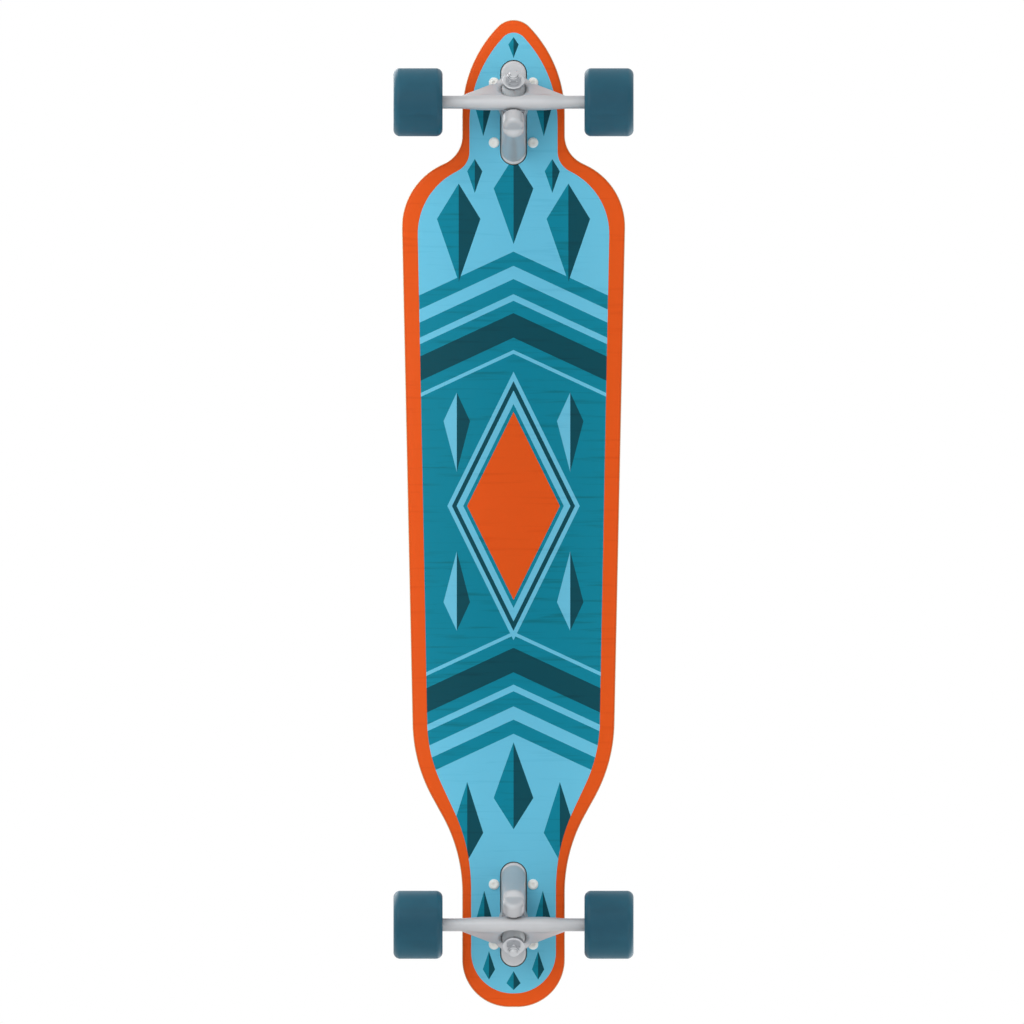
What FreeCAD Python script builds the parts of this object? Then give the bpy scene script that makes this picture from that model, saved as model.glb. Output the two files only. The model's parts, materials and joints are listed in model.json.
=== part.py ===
import FreeCAD
import Part
import math
import os

# A longboard skateboard on drop-through trucks with reversed kingpins.
# Millimetres. +X points to the nose, +Y to the rider's left and +Z up.
# The origin is on the floor, under the middle of the board.

# Deck, measured from the nose tip or the tail end, with the wheel cutaways measured from the axles
deck_length = 1044.0
deck_thickness = 11.5
deck_edge_round = 3.5
nose_tip_radius = 23.5
nose_taper_length = 46.0
nose_blend_radius = 133.0
neck_width = 108.5
neck_blend_radius = 32.5
front_cutaway = 55.5
front_shoulder_run = 31.5
shoulder_width = 238.0
shoulder_blend_radius = 72.0
waist_width = 212.0
rear_cutaway = 77.0
rear_shoulder_run = 94.0
rear_blend_radius = 168.0
tail_corner_radius = 50.0
flat_margin = 10.0
concave_depth = 8.0
concave_shares = (0, 0, 0, 1, 1, 1, 1, 1, 1, 1, 1, 0, 0, 0)

# Grip tape
grip_thickness = 0.8
grip_margin = 1.0
grip_flange_gap = 1.2

# Truck mounting
flange_end_gap = 34.0
bolt_spacing_long = 63.5
bolt_spacing_short = 54.0
bolt_spacing_wide = 41.3
bolt_diameter = 4.8
bolt_hole_clearance = 0.3
bolt_head_diameter = 11.2
bolt_head_height = 2.7
bolt_socket_across = 3.2
bolt_socket_depth = 1.5
bolt_crown_share = 0.9
bolt_end_show = 1.5
bolt_nut_across = 9.5
bolt_nut_height = 6.0
bolt_nut_collar = 2.0
thread_clearance = 0.05
nut_edge_round = 0.7

# Baseplate
flange_length = 128.0
flange_width = 60.0
flange_thickness = 6.5
flange_corner_radius = 16.0
flange_edge_round = 1.5
flange_overlap = 9.0
boss_width = 27.0
boss_proud = 1.0
slot_clearance = 0.75
wedge_width = 25.0
wedge_inset = 3.0
tower_diameter = 23.0
tower_foot_length = 28.0
tower_end_round = 5.0
tower_floor = 3.0
notch_depth = 14.0
notch_round = 3.0
seat_land = 0.8
seat_boss_depth = 9.0
front_pocket_length = 36.0
front_pocket_width = 15.0
back_pocket_diameter = 11.0
pocket_gap = 7.0
pocket_floor = 6.0

# Steering geometry
axle_drop = 62.0
axle_lead = 11.0
steer_angle = 42.0
lean_limit = 20.0
lean_margin = 16.0
rake = 10.0

# Kingpin stack
kingpin_diameter = 9.5
kingpin_bore_clearance = 0.2
kingpin_grip = 26.0
kingpin_head_across = 14.3
kingpin_head_height = 6.0
kingpin_head_clearance = 1.6
kingpin_end_show = 2.5
kingpin_nut_across = 14.3
kingpin_nut_height = 8.5
kingpin_nut_collar = 2.8
bushing_diameter = 26.0
bushing_height = 15.0
bushing_bore_clearance = 0.3
bushing_edge_round = 1.5
cone_tip_diameter = 20.0
washer_thickness = 1.8
washer_lip = 1.8
washer_wall = 1.4
washer_fit = 0.25

# Hanger
hanger_width = 178.0
bar_end_diameter = 14.0
bar_diameter = 17.0
bar_middle_width = 66.0
bar_taper_length = 20.0
bar_end_chamfer = 1.0
bar_gap = 1.5
ring_wall = 7.5
ring_web = 6.0
ring_seat_depth = 3.0
ring_seat_clearance = 0.4
ring_hole_diameter = 17.0
yoke_inner_width = 45.0
yoke_outer_width = 122.0
yoke_lead = 8.0
yoke_round = 4.0
yoke_tip_round = 1.5
yoke_root_shares = ((0.25, 0.95), (-0.95, -0.55))
yoke_tip_shares = ((0.65, -0.35), (0.65, 0.35), (0.0, 0.7), (-0.65, -0.35))
nose_diameter = 12.4
nose_root_diameter = 19.0
nose_reach = 10.5
nose_round = 3.0

# Pivot cup
cup_wall = 2.2
cup_floor = 2.0
cup_lip_thickness = 1.2
cup_lip_width = 1.4
cup_gap = 1.0
pivot_clearance = 0.08
pivot_end_gap = 0.4

# Axle and its hardware
axle_diameter = 7.94
axle_fit = 0.02
axle_end_show = 2.0
axle_end_chamfer = 0.8
axle_nut_across = 12.7
axle_nut_height = 7.0
axle_nut_collar = 2.2
speed_ring_diameter = 11.5
speed_ring_thickness = 1.0
spacer_diameter = 10.2
spacer_length = 10.0

# Bearings
bearing_bore = 8.0
bearing_diameter = 22.0
bearing_width = 7.0
inner_land_diameter = 12.2
outer_land_diameter = 18.5
ball_count = 7
ball_diameter = 3.97
ball_clearance = 0.08
shield_thickness = 0.5
shield_inset = 0.3
shield_seat_diameter = 19.8
shield_gap = 0.25
cage_wall = 1.4
cage_rim = 0.45
cage_crown = 0.8
race_edge_round = 0.4

# Wheels
wheel_diameter = 72.0
wheel_width = 52.0
wheel_offset = 1.0
wheel_lip_round = 7.0
wheel_face_diameter = 54.0
wheel_throat_diameter = 47.0
wheel_throat_depth = 3.0
wheel_face_round = 2.5
core_diameter = 40.0
core_land_diameter = 19.2
core_key_diameter = 50.0
core_key_width = 8.0
core_fit = 0.02
core_hub_wall = 2.4
core_rim_wall = 2.4
core_rib_count = 10
core_rib_width = 2.2
core_pocket_depth = 7.5

# How far a cut runs past the faces that it goes through
overrun = 1.0

origin = FreeCAD.Vector(0, 0, 0)
x_axis = FreeCAD.Vector(1, 0, 0)
y_axis = FreeCAD.Vector(0, 1, 0)
z_axis = FreeCAD.Vector(0, 0, 1)

# Heights and places that follow from the sizes above
axle_height = wheel_diameter / 2
deck_top = axle_height + axle_drop
deck_bottom = deck_top - deck_thickness
boss_length = flange_length - 2 * flange_overlap
truck_setback = flange_end_gap + flange_length / 2
flat_end_length = flange_end_gap + flange_length + flat_margin
hollow_rise = concave_depth * (max(shoulder_width, waist_width) / shoulder_width) ** 2
front_neck_end = truck_setback - axle_lead + front_cutaway
rear_neck_end = truck_setback - axle_lead + rear_cutaway
truck_x = deck_length / 2 - truck_setback
axle_x = truck_x + axle_lead
bar_back = bushing_diameter / 2 + bar_gap + bar_diameter / 2
steer_cos = math.cos(math.radians(steer_angle))
steer_sin = math.sin(math.radians(steer_angle))
ring_u = axle_lead + bar_back * steer_cos - rake * steer_sin
ring_w = -axle_drop + bar_back * steer_sin + rake * steer_cos
seat_k = -(ring_web / 2 + bushing_height + washer_thickness)
head_k = seat_k - kingpin_grip
nut_k = -seat_k
cup_mouth = -(bar_back + bar_diameter / 2 + cup_gap)
tower_mouth = cup_mouth - cup_lip_thickness
nose_tip = tower_mouth - nose_reach
cup_end = nose_tip - pivot_end_gap - cup_floor
tower_end = cup_end - tower_floor
cup_radius = nose_diameter / 2 + pivot_clearance + cup_wall
stack_half = spacer_length / 2 + bearing_width
bearing_y = hanger_width / 2 + speed_ring_thickness + stack_half
nut_y = bearing_y + stack_half + speed_ring_thickness
axle_length = 2 * (nut_y + axle_nut_height + axle_end_show)


def rounded_wire(points, radii):
    # Closed wire in the XY plane: straight runs, with each corner rounded by its own radius.
    # Two roundings that are too large for the run between them share its length
    corners = [FreeCAD.Vector(x, y, 0) for x, y in points]
    reaches = []
    for index, corner in enumerate(corners):
        back = corners[index - 1] - corner
        ahead = corners[(index + 1) % len(corners)] - corner
        reaches.append(radii[index] / math.tan(back.getAngle(ahead) / 2) if radii[index] else 0)
    turns = []
    for index, corner in enumerate(corners):
        radius = radii[index]
        if not radius:
            turns.append((corner, corner, corner))
            continue
        for other in (index - 1, (index + 1) % len(corners)):
            run = corner.distanceToPoint(corners[other])
            radius = min(radius, radii[index] * run / max(run, reaches[index] + reaches[other]))
        back = (corners[index - 1] - corner).normalize()
        ahead = (corners[(index + 1) % len(corners)] - corner).normalize()
        half_angle = back.getAngle(ahead) / 2
        reach = radius / math.tan(half_angle)
        middle = (back + ahead).normalize()
        depth = radius / math.sin(half_angle) - radius
        turns.append((corner + back * reach, corner + middle * depth, corner + ahead * reach))
    edges = []
    for index, (start, middle, end) in enumerate(turns):
        following = turns[(index + 1) % len(turns)][0]
        if radii[index]:
            edges.append(Part.Arc(start, middle, end).toShape())
        if not end.isEqual(following, Part.Precision.confusion()):
            edges.append(Part.LineSegment(end, following).toShape())
    return Part.Wire(edges)


def rounded_box(length, width, radius, middle=0.0):
    # Rounded rectangle in the XY plane, with its middle on the X axis
    half = length / 2
    points = [(middle - half, -width / 2), (middle + half, -width / 2)]
    points += [(middle + half, width / 2), (middle - half, width / 2)]
    return rounded_wire(points, [radius] * len(points))


def prism(wire, bottom, top):
    face = Part.Face(wire)
    face.translate(z_axis * bottom)
    return face.extrude(z_axis * (top - bottom))


def upright(wire, y=0.0):
    # Stand an XY wire up in the XZ plane at the given Y
    wire.rotate(origin, x_axis, 90)
    wire.translate(y_axis * y)
    return wire


def turned(points, radii=None):
    # Solid of revolution about Z from an outline of (radius, height) corners
    wire = upright(rounded_wire(points, radii or [0] * len(points)))
    return Part.Face(wire).revolve(origin, z_axis, 360)


def tube(outer, inner, bottom, top, edge=0.0):
    points = [(inner, bottom), (outer, bottom), (outer, top), (inner, top)]
    return turned(points, [0, edge, edge, 0])


def rod(radius, bottom, top):
    return Part.makeCylinder(radius, top - bottom, z_axis * bottom)


def placed(shape, placement):
    moved = shape.copy()
    moved.Placement = placement.multiply(moved.Placement)
    return moved


def turn_to_x(shape):
    # Lay a piece made about Z along X
    return placed(shape, FreeCAD.Placement(origin, FreeCAD.Rotation(y_axis, 90)))


def hexagon(across):
    corner = across / math.sqrt(3)
    angles = [math.radians(60 * step) for step in range(6)]
    points = [(corner * math.cos(angle), corner * math.sin(angle)) for angle in angles]
    return rounded_wire(points, [0] * len(points))


def hex_block(across, height):
    # Hexagonal block on z = 0 with its corners turned round at both ends
    corner = across / math.sqrt(3)
    turned_block = tube(corner, 0, 0, height, nut_edge_round)
    return prism(hexagon(across), 0, height).common(turned_block)


def lock_nut(across, height, collar, shaft_diameter):
    # Hexagonal nut with the round collar that holds its locking ring
    bore = shaft_diameter / 2 + thread_clearance
    hex_height = height - collar
    crown = tube(across / 2 - nut_edge_round, 0, hex_height - nut_edge_round, height)
    crown = crown.makeFillet(nut_edge_round, [edge_at(crown, height)])
    nut = hex_block(across, hex_height).fuse(crown)
    return nut.cut(rod(bore, -overrun, height + overrun)).removeSplitter()


def edge_at(shape, height):
    # The longest edge that lies level at the given height
    level = [edge for edge in shape.Edges if lies_level(edge, height)]
    return max(level, key=lambda edge: edge.Length)


def lies_level(edge, height):
    box = edge.BoundBox
    slack = Part.Precision.confusion() * 100
    return abs(box.ZMin - height) < slack and abs(box.ZMax - height) < slack


def level_edges(shape, height):
    return [edge for edge in shape.Edges if lies_level(edge, height)]


def end_edge(shape, x):
    # The longest edge that lies square to X at the given place
    slack = Part.Precision.confusion() * 100
    square = []
    for edge in shape.Edges:
        box = edge.BoundBox
        if abs(box.XMin - x) < slack and abs(box.XMax - x) < slack:
            square.append(edge)
    return max(square, key=lambda edge: edge.Length)


def deck_outline():
    # Plan outline from the nose tip round to the tail and back along the other side
    half_neck = neck_width / 2
    from_tip = FreeCAD.Vector(nose_taper_length - nose_tip_radius, half_neck, 0)
    flank = math.atan2(from_tip.y, from_tip.x) - math.asin(nose_tip_radius / from_tip.Length)
    apex = nose_taper_length - half_neck / math.tan(flank)
    tail_neck = deck_length - rear_neck_end
    side = [
        (nose_taper_length, half_neck, nose_blend_radius),
        (front_neck_end, half_neck, neck_blend_radius),
        (front_neck_end + front_shoulder_run, shoulder_width / 2, shoulder_blend_radius),
        (tail_neck - rear_shoulder_run, waist_width / 2, rear_blend_radius),
        (tail_neck, half_neck, rear_blend_radius),
        (deck_length, half_neck, tail_corner_radius),
    ]
    corners = [(apex, 0, nose_tip_radius)] + side
    corners += [(along, -across, radius) for along, across, radius in reversed(side)]
    points = [(deck_length / 2 - along, across) for along, across, radius in corners]
    return rounded_wire(points, [radius for along, across, radius in corners])


def concave_face():
    # Pressed surface of the platform: level at both ends, hollow across in between
    flat_x = deck_length / 2 - flat_end_length
    spans = len(concave_shares) - 3
    knots = [-flat_x + 2 * flat_x * step / spans for step in range(spans + 1)]
    padded = [knots[0]] * 3 + knots + [knots[-1]] * 3
    rise = concave_depth * (shoulder_width / (shoulder_width / 2)) ** 2
    poles = []
    for index, share in enumerate(concave_shares):
        x = sum(padded[index + 1:index + 4]) / 3
        sides = [(-shoulder_width, rise), (0, -rise), (shoulder_width, rise)]
        poles.append([FreeCAD.Vector(x, y, height * share) for y, height in sides])
    surface = Part.BSplineSurface()
    multiples = [4] + [1] * (spans - 1) + [4]
    surface.buildFromPolesMultsKnots(poles, multiples, [3, 3], knots, [0, 1], False, False, 3, 2)
    return surface.toShape()


def pressed_slab(bottom, top):
    # Slab of even height that follows the platform and runs level under the trucks
    flat_x = deck_length / 2 - flat_end_length
    lift = z_axis * (top - bottom)
    platform = concave_face().extrude(lift)
    platform.translate(z_axis * bottom)
    size = (flat_end_length + overrun, 2 * shoulder_width, top - bottom)
    nose_flat = Part.makeBox(*size, FreeCAD.Vector(flat_x, -shoulder_width, bottom))
    tail_start = -flat_x - flat_end_length - overrun
    tail_flat = Part.makeBox(*size, FreeCAD.Vector(tail_start, -shoulder_width, bottom))
    return platform.fuse([nose_flat, tail_flat])


def at_trucks(shape):
    # A piece of the front truck, made about its bolt pattern, and its turned copy at the rear
    front = FreeCAD.Placement(FreeCAD.Vector(truck_x, 0, deck_top), FreeCAD.Rotation())
    rear_turn = FreeCAD.Rotation(z_axis, 180)
    rear = FreeCAD.Placement(FreeCAD.Vector(-truck_x, 0, deck_top), rear_turn)
    return placed(shape, front), placed(shape, rear)


def bolt_places():
    half_long = bolt_spacing_long / 2
    half_wide = bolt_spacing_wide / 2
    return [(u, v) for u in (-half_long, half_long) for v in (-half_wide, half_wide)]


def make_deck():
    reach = hollow_rise + overrun
    outline = prism(deck_outline(), deck_bottom - reach, deck_top + reach)
    board = pressed_slab(deck_bottom, deck_top).common(outline)
    flat_x = deck_length / 2 - flat_end_length
    rims = []
    for edge in board.Edges:
        box = edge.BoundBox
        upright_edge = box.ZLength > math.hypot(box.XLength, box.YLength)
        seam = box.XLength < overrun and abs(abs(edge.CenterOfMass.x) - flat_x) < overrun
        if not upright_edge and not seam:
            rims.append(edge)
    board = board.makeFillet(deck_edge_round, rims)
    slot_width = boss_width + 2 * slot_clearance
    slot = rounded_box(boss_length + 2 * slot_clearance, slot_width, slot_width / 2)
    cuts = [prism(slot, -deck_thickness - overrun, overrun)]
    hole = bolt_diameter / 2 + bolt_hole_clearance
    for u, v in bolt_places():
        drill = rod(hole, -deck_thickness - overrun, overrun)
        drill.translate(FreeCAD.Vector(u, v, 0))
        cuts.append(drill)
    for cut in cuts:
        for drill in at_trucks(cut):
            board = board.cut(drill)
    return board


def make_grip_tape():
    inset = deck_edge_round + grip_margin
    outline = deck_outline().makeOffset2D(-inset)
    reach = hollow_rise + grip_thickness + overrun
    sheet = pressed_slab(deck_top, deck_top + grip_thickness)
    sheet = sheet.common(prism(outline, deck_top - reach, deck_top + reach))
    window_length = flange_length + 2 * grip_flange_gap
    window_width = flange_width + 2 * grip_flange_gap
    window_radius = flange_corner_radius + grip_flange_gap
    window = rounded_box(window_length, window_width, window_radius)
    for cut in at_trucks(prism(window, -overrun, grip_thickness + overrun)):
        sheet = sheet.cut(cut)
    return sheet


def make_mount_bolt():
    # Truss-head screw, head down under the deck, with the deck's underside at z = 0
    head = bolt_head_diameter / 2
    shank = bolt_diameter / 2
    end = deck_thickness + flange_thickness + bolt_nut_height + bolt_end_show
    points = [(0, -bolt_head_height), (head, -bolt_head_height), (head, 0)]
    points += [(shank, 0), (shank, end), (0, end)]
    crown = bolt_head_height * bolt_crown_share
    screw = turned(points, [0, crown, 0, 0, nut_edge_round, 0])
    socket = prism(hexagon(bolt_socket_across), -bolt_head_height - overrun,
                   -bolt_head_height + bolt_socket_depth)
    return screw.cut(socket)


def steer_placement():
    # Frame of the bushing stack: X along the steering axis, outward and up, Z down the kingpin
    along = FreeCAD.Vector(steer_cos, 0, steer_sin)
    down = FreeCAD.Vector(steer_sin, 0, -steer_cos)
    turn = FreeCAD.Rotation(along, -y_axis, down, "XYZ")
    return FreeCAD.Placement(FreeCAD.Vector(ring_u, 0, ring_w), turn)


def ring_radius():
    return bushing_diameter / 2 + ring_seat_clearance + ring_wall


def make_baseplate():
    steer = steer_placement()
    flange = prism(rounded_box(flange_length, flange_width, flange_corner_radius), 0, flange_thickness)
    flange = flange.makeFillet(flange_edge_round, level_edges(flange, flange_thickness))
    boss_bottom = -deck_thickness - boss_proud
    boss = prism(rounded_box(boss_length, boss_width, boss_width / 2), boss_bottom, 0)
    boss = boss.makeFillet(flange_edge_round, level_edges(boss, boss_bottom))

    # Wedge from the slot down to the pivot tower, cut away where the hanger swings
    tower_foot = steer.multVec(x_axis * nose_tip)
    seat_reach = bushing_diameter / 2 + washer_fit + washer_wall + seat_land
    seat_out = steer.multVec(FreeCAD.Vector(seat_reach, 0, seat_k)).x
    wedge_start = -boss_length / 2 + wedge_inset
    root = rounded_box(seat_out - wedge_start, wedge_width, wedge_width / 2, (seat_out + wedge_start) / 2)
    root.translate(z_axis * boss_bottom)
    foot = rounded_box(tower_foot_length, tower_diameter, tower_diameter / 2, tower_foot.x)
    foot.translate(z_axis * tower_foot.z)
    wedge = Part.makeLoft([root, foot], True, True)
    wedge = wedge.makeFillet(tower_end_round, level_edges(wedge, tower_foot.z))
    wedge = wedge.fuse(placed(rod(seat_reach, seat_k - seat_boss_depth, seat_k), steer))
    swing = -(ring_radius() + bar_gap)
    far = flange_length
    notch = [(tower_mouth, far), (tower_mouth, -notch_depth), (swing, -notch_depth)]
    notch += [(swing, seat_k), (far, seat_k), (far, far)]
    rounds = [0, 0, notch_round, 0, 0, 0]
    notch_wire = upright(rounded_wire(notch, rounds), -flange_width / 2)
    notch_block = Part.Face(notch_wire).extrude(y_axis * flange_width)
    wedge = wedge.cut(placed(notch_block, steer))
    tower = turn_to_x(tube(tower_diameter / 2, 0, tower_end, tower_mouth))
    tower = tower.makeFillet(tower_end_round, [end_edge(tower, tower_end)])
    plate = flange.fuse([boss, wedge, placed(tower, steer)]).removeSplitter()

    # Cup seat, kingpin bore and head recess, casting pockets, bolt holes
    cuts = [placed(turn_to_x(rod(cup_radius, cup_end, 0)), steer)]
    bore = kingpin_diameter / 2 + kingpin_bore_clearance
    recess = kingpin_head_across / math.sqrt(3) + kingpin_head_clearance
    cuts.append(placed(rod(bore, head_k - overrun, 0), steer))
    cuts.append(placed(rod(recess, head_k - far, head_k), steer))
    pocket_bottom = boss_bottom + pocket_floor
    for length, width, middle in pocket_places():
        pocket = rounded_box(length, width, width / 2, middle)
        cuts.append(prism(pocket, pocket_bottom, flange_thickness + overrun))
    hole = bolt_diameter / 2 + bolt_hole_clearance
    spare = bolt_spacing_long / 2 - bolt_spacing_short
    rows = bolt_places() + [(spare, -bolt_spacing_wide / 2), (spare, bolt_spacing_wide / 2)]
    for u, v in rows:
        drill = rod(hole, -overrun, flange_thickness + overrun)
        drill.translate(FreeCAD.Vector(u, v, 0))
        cuts.append(drill)
    return plate.cut(cuts)


def pocket_places():
    # Length, width and middle of the two cored pockets, each set in from its end of the boss
    front_middle = boss_length / 2 - pocket_gap - front_pocket_length / 2
    back_middle = -boss_length / 2 + pocket_gap + back_pocket_diameter / 2
    front = (front_pocket_length, front_pocket_width, front_middle)
    back = (back_pocket_diameter, back_pocket_diameter, back_middle)
    return [front, back]


def make_pivot_cup():
    bore = nose_diameter / 2 + pivot_clearance
    lip = cup_radius + cup_lip_width
    points = [(0, cup_end), (cup_radius, cup_end), (cup_radius, tower_mouth), (lip, tower_mouth)]
    points += [(lip, cup_mouth), (bore, cup_mouth), (bore, cup_end + cup_floor), (0, cup_end + cup_floor)]
    return turn_to_x(turned(points))


def make_kingpin():
    head = hex_block(kingpin_head_across, kingpin_head_height)
    head.translate(z_axis * (head_k - kingpin_head_height))
    end = nut_k + kingpin_nut_height + kingpin_end_show
    shank = tube(kingpin_diameter / 2, 0, head_k - nut_edge_round, end)
    shank = shank.makeChamfer(nut_edge_round, [edge_at(shank, end)])
    return head.fuse(shank).removeSplitter()


def make_kingpin_nut():
    nut = lock_nut(kingpin_nut_across, kingpin_nut_height, kingpin_nut_collar, kingpin_diameter)
    nut.translate(z_axis * nut_k)
    return nut


def make_cupped_washer(inside_diameter):
    # Washer on z = 0 with a lip that holds the end of its bushing
    bore = kingpin_diameter / 2 + bushing_bore_clearance
    inside = inside_diameter / 2 + washer_fit
    outside = inside + washer_wall
    lip_top = washer_thickness + washer_lip
    points = [(bore, 0), (outside, 0), (outside, lip_top), (inside, lip_top)]
    points += [(inside, washer_thickness), (bore, washer_thickness)]
    return turned(points, [0, washer_wall, 0, 0, 0, 0])


def make_board_washer():
    washer = make_cupped_washer(bushing_diameter)
    washer.translate(z_axis * seat_k)
    return washer


def make_road_washer():
    # Its lip clears the bushing's cone, which widens towards the ring
    taper = (bushing_diameter - cone_tip_diameter) / bushing_height
    washer = make_cupped_washer(cone_tip_diameter + taper * washer_lip)
    washer.rotate(origin, x_axis, 180)
    washer.translate(z_axis * nut_k)
    return washer


def make_bushing(tip_diameter, toward):
    # Urethane bushing between the ring's web and the washer on that side
    bore = kingpin_diameter / 2 + bushing_bore_clearance
    near = toward * ring_web / 2
    far = near + toward * bushing_height
    points = [(bore, near), (bushing_diameter / 2, near), (tip_diameter / 2, far), (bore, far)]
    return turned(points, [0, bushing_edge_round, bushing_edge_round, 0])


def yoke_section(y, points, radius):
    return upright(rounded_wire(points, [radius] * len(points)), y)


def make_hanger():
    bar_radius = bar_diameter / 2
    ring_half = ring_web / 2 + ring_seat_depth
    radius = ring_radius()

    # Bar round the axle, thicker in the middle
    half = hanger_width / 2
    end = bar_end_diameter / 2
    middle = bar_middle_width / 2
    outer = middle + bar_taper_length
    side = [(bar_radius, middle), (end, outer)]
    side += [(end, half - bar_end_chamfer), (end - bar_end_chamfer, half)]
    points = [(0, -half)] + [(r, -y) for r, y in reversed(side)] + side + [(0, half)]
    bar = turned(points)
    bar_place = FreeCAD.Placement(FreeCAD.Vector(-bar_back, 0, rake), FreeCAD.Rotation(x_axis, 90))
    bar = placed(bar, bar_place)

    # Yoke that spreads from the bushing ring out to the bar
    root = [(yoke_lead, -ring_half), (yoke_lead, ring_half)]
    root += [(-bar_back + bar_radius * a, rake + bar_radius * b) for a, b in yoke_root_shares]
    tip = [(-bar_back + end * a, rake + end * b) for a, b in yoke_tip_shares]
    sections = []
    for y in (-yoke_outer_width / 2, -yoke_inner_width / 2, yoke_inner_width / 2, yoke_outer_width / 2):
        at_tip = abs(y) > yoke_inner_width
        corners, corner_round = (tip, yoke_tip_round) if at_tip else (root, yoke_round)
        sections.append(yoke_section(y, corners, corner_round))
    yoke = Part.makeLoft(sections, True, True)

    # Bushing ring and the pivot nose on the steering axis
    ring = tube(radius, 0, -ring_half, ring_half, yoke_round / 2)
    nose_root = nose_root_diameter / 2
    nose = nose_diameter / 2
    points = [(0, nose_tip), (nose, nose_tip), (nose, cup_mouth + cup_gap / 2)]
    points += [(nose_root, -bar_back), (nose_root, 0), (0, 0)]
    pivot = turn_to_x(turned(points, [0, nose_round, 0, 0, 0, 0]))
    hanger = bar.fuse([yoke, ring, pivot])
    seat = bushing_diameter / 2 + ring_seat_clearance
    cuts = [rod(ring_hole_diameter / 2, -radius, radius)]
    cuts.append(rod(seat, ring_web / 2, ring_web / 2 + bushing_height))
    cuts.append(rod(seat, -ring_web / 2 - bushing_height, -ring_web / 2))
    relief_top = nut_k + overrun
    relief = seat + (relief_top - ring_half) * math.tan(math.radians(lean_limit + lean_margin))
    cuts.append(Part.makeCone(seat, relief, relief_top - ring_half, z_axis * ring_half))
    cuts.append(placed(rod(axle_diameter / 2 + axle_fit, -half - overrun, half + overrun), bar_place))
    return hanger.cut(cuts).removeSplitter()


def make_axle():
    half = axle_length / 2
    radius = axle_diameter / 2
    inner = radius - axle_end_chamfer
    points = [(0, -half), (inner, -half), (radius, -half + axle_end_chamfer)]
    points += [(radius, half - axle_end_chamfer), (inner, half), (0, half)]
    return turned(points)


def make_axle_nut():
    nut = lock_nut(axle_nut_across, axle_nut_height, axle_nut_collar, axle_diameter)
    nut.translate(z_axis * (stack_half + speed_ring_thickness))
    return nut


def make_speed_rings():
    bore = bearing_bore / 2
    inner = tube(speed_ring_diameter / 2, bore, -stack_half - speed_ring_thickness, -stack_half)
    outer = tube(speed_ring_diameter / 2, bore, stack_half, stack_half + speed_ring_thickness)
    return [inner, outer]


def make_spacer():
    return tube(spacer_diameter / 2, bearing_bore / 2, -spacer_length / 2, spacer_length / 2)


def at_bearings(pieces):
    # Copies of a bearing piece, made about its own middle, in both seats of a wheel
    reach = (spacer_length + bearing_width) / 2
    inner_turn = FreeCAD.Rotation(x_axis, 180)
    inner = FreeCAD.Placement(z_axis * -reach, inner_turn)
    outer = FreeCAD.Placement(z_axis * reach, FreeCAD.Rotation())
    return [placed(piece, place) for place in (inner, outer) for piece in pieces]


def ball_pitch():
    return (inner_land_diameter + outer_land_diameter) / 4


def groove():
    return Part.makeTorus(ball_pitch(), ball_diameter / 2 + ball_clearance)


def make_inner_race():
    half = bearing_width / 2
    race = tube(inner_land_diameter / 2, bearing_bore / 2, -half, half)
    return [race.cut(groove())]


def make_outer_race():
    half = bearing_width / 2
    race = tube(bearing_diameter / 2, outer_land_diameter / 2, -half, half, race_edge_round)
    seat_depth = shield_thickness + shield_inset
    seats = [rod(shield_seat_diameter / 2, half - seat_depth, half + overrun)]
    seats.append(rod(shield_seat_diameter / 2, -half - overrun, -half + seat_depth))
    return [race.cut(seats + [groove()])]


def make_shields():
    inner = inner_land_diameter / 2 + shield_gap
    face = bearing_width / 2 - shield_inset
    outer_shield = tube(shield_seat_diameter / 2, inner, face - shield_thickness, face)
    inner_shield = tube(shield_seat_diameter / 2, inner, -face, -face + shield_thickness)
    return [outer_shield, inner_shield]


def make_ball_set():
    # Balls in a crown cage that is open on one side
    radius = ball_diameter / 2
    pocket = radius + ball_clearance
    pitch = ball_pitch()
    cage = tube(pitch + cage_wall / 2, pitch - cage_wall / 2, -pocket - cage_rim, cage_crown)
    balls = []
    for step in range(ball_count):
        turn = FreeCAD.Placement(origin, FreeCAD.Rotation(z_axis, 360 * step / ball_count))
        balls.append(placed(Part.makeSphere(radius, x_axis * pitch), turn))
        drill = Part.makeCylinder(pocket, 2 * cage_wall, x_axis * (pitch - cage_wall), x_axis)
        cage = cage.cut(placed(drill, turn))
    return [cage] + balls


def make_core():
    seat = bearing_diameter / 2 + core_fit
    land = core_land_diameter / 2
    outside = core_diameter / 2
    key = core_key_diameter / 2
    half_key = core_key_width / 2
    half_land = spacer_length / 2
    upper = [(outside, half_key), (outside, stack_half), (seat, stack_half)]
    upper += [(seat, half_land), (land, half_land)]
    lower = [(r, -z) for r, z in reversed(upper)]
    blank = turned(lower + [(key, -half_key), (key, half_key)] + upper)
    return blank.cut(core_pockets())


def core_pockets():
    # Ring of pockets in each face between the bearing seat and the rim, parted by ribs
    inner = bearing_diameter / 2 + core_fit + core_hub_wall
    outer = core_diameter / 2 - core_rim_wall
    floor = stack_half - core_pocket_depth
    ring = tube(outer, inner, floor, stack_half + overrun)
    corner = FreeCAD.Vector(0, -core_rib_width / 2, floor - overrun)
    rib = Part.makeBox(core_diameter, core_rib_width, core_pocket_depth + 3 * overrun, corner)
    turns = [FreeCAD.Rotation(z_axis, 360 * step / core_rib_count) for step in range(core_rib_count)]
    ring = ring.cut([placed(rib, FreeCAD.Placement(origin, turn)) for turn in turns])
    other_face = FreeCAD.Placement(origin, FreeCAD.Rotation(x_axis, 180))
    return [ring, placed(ring, other_face)]


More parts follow.
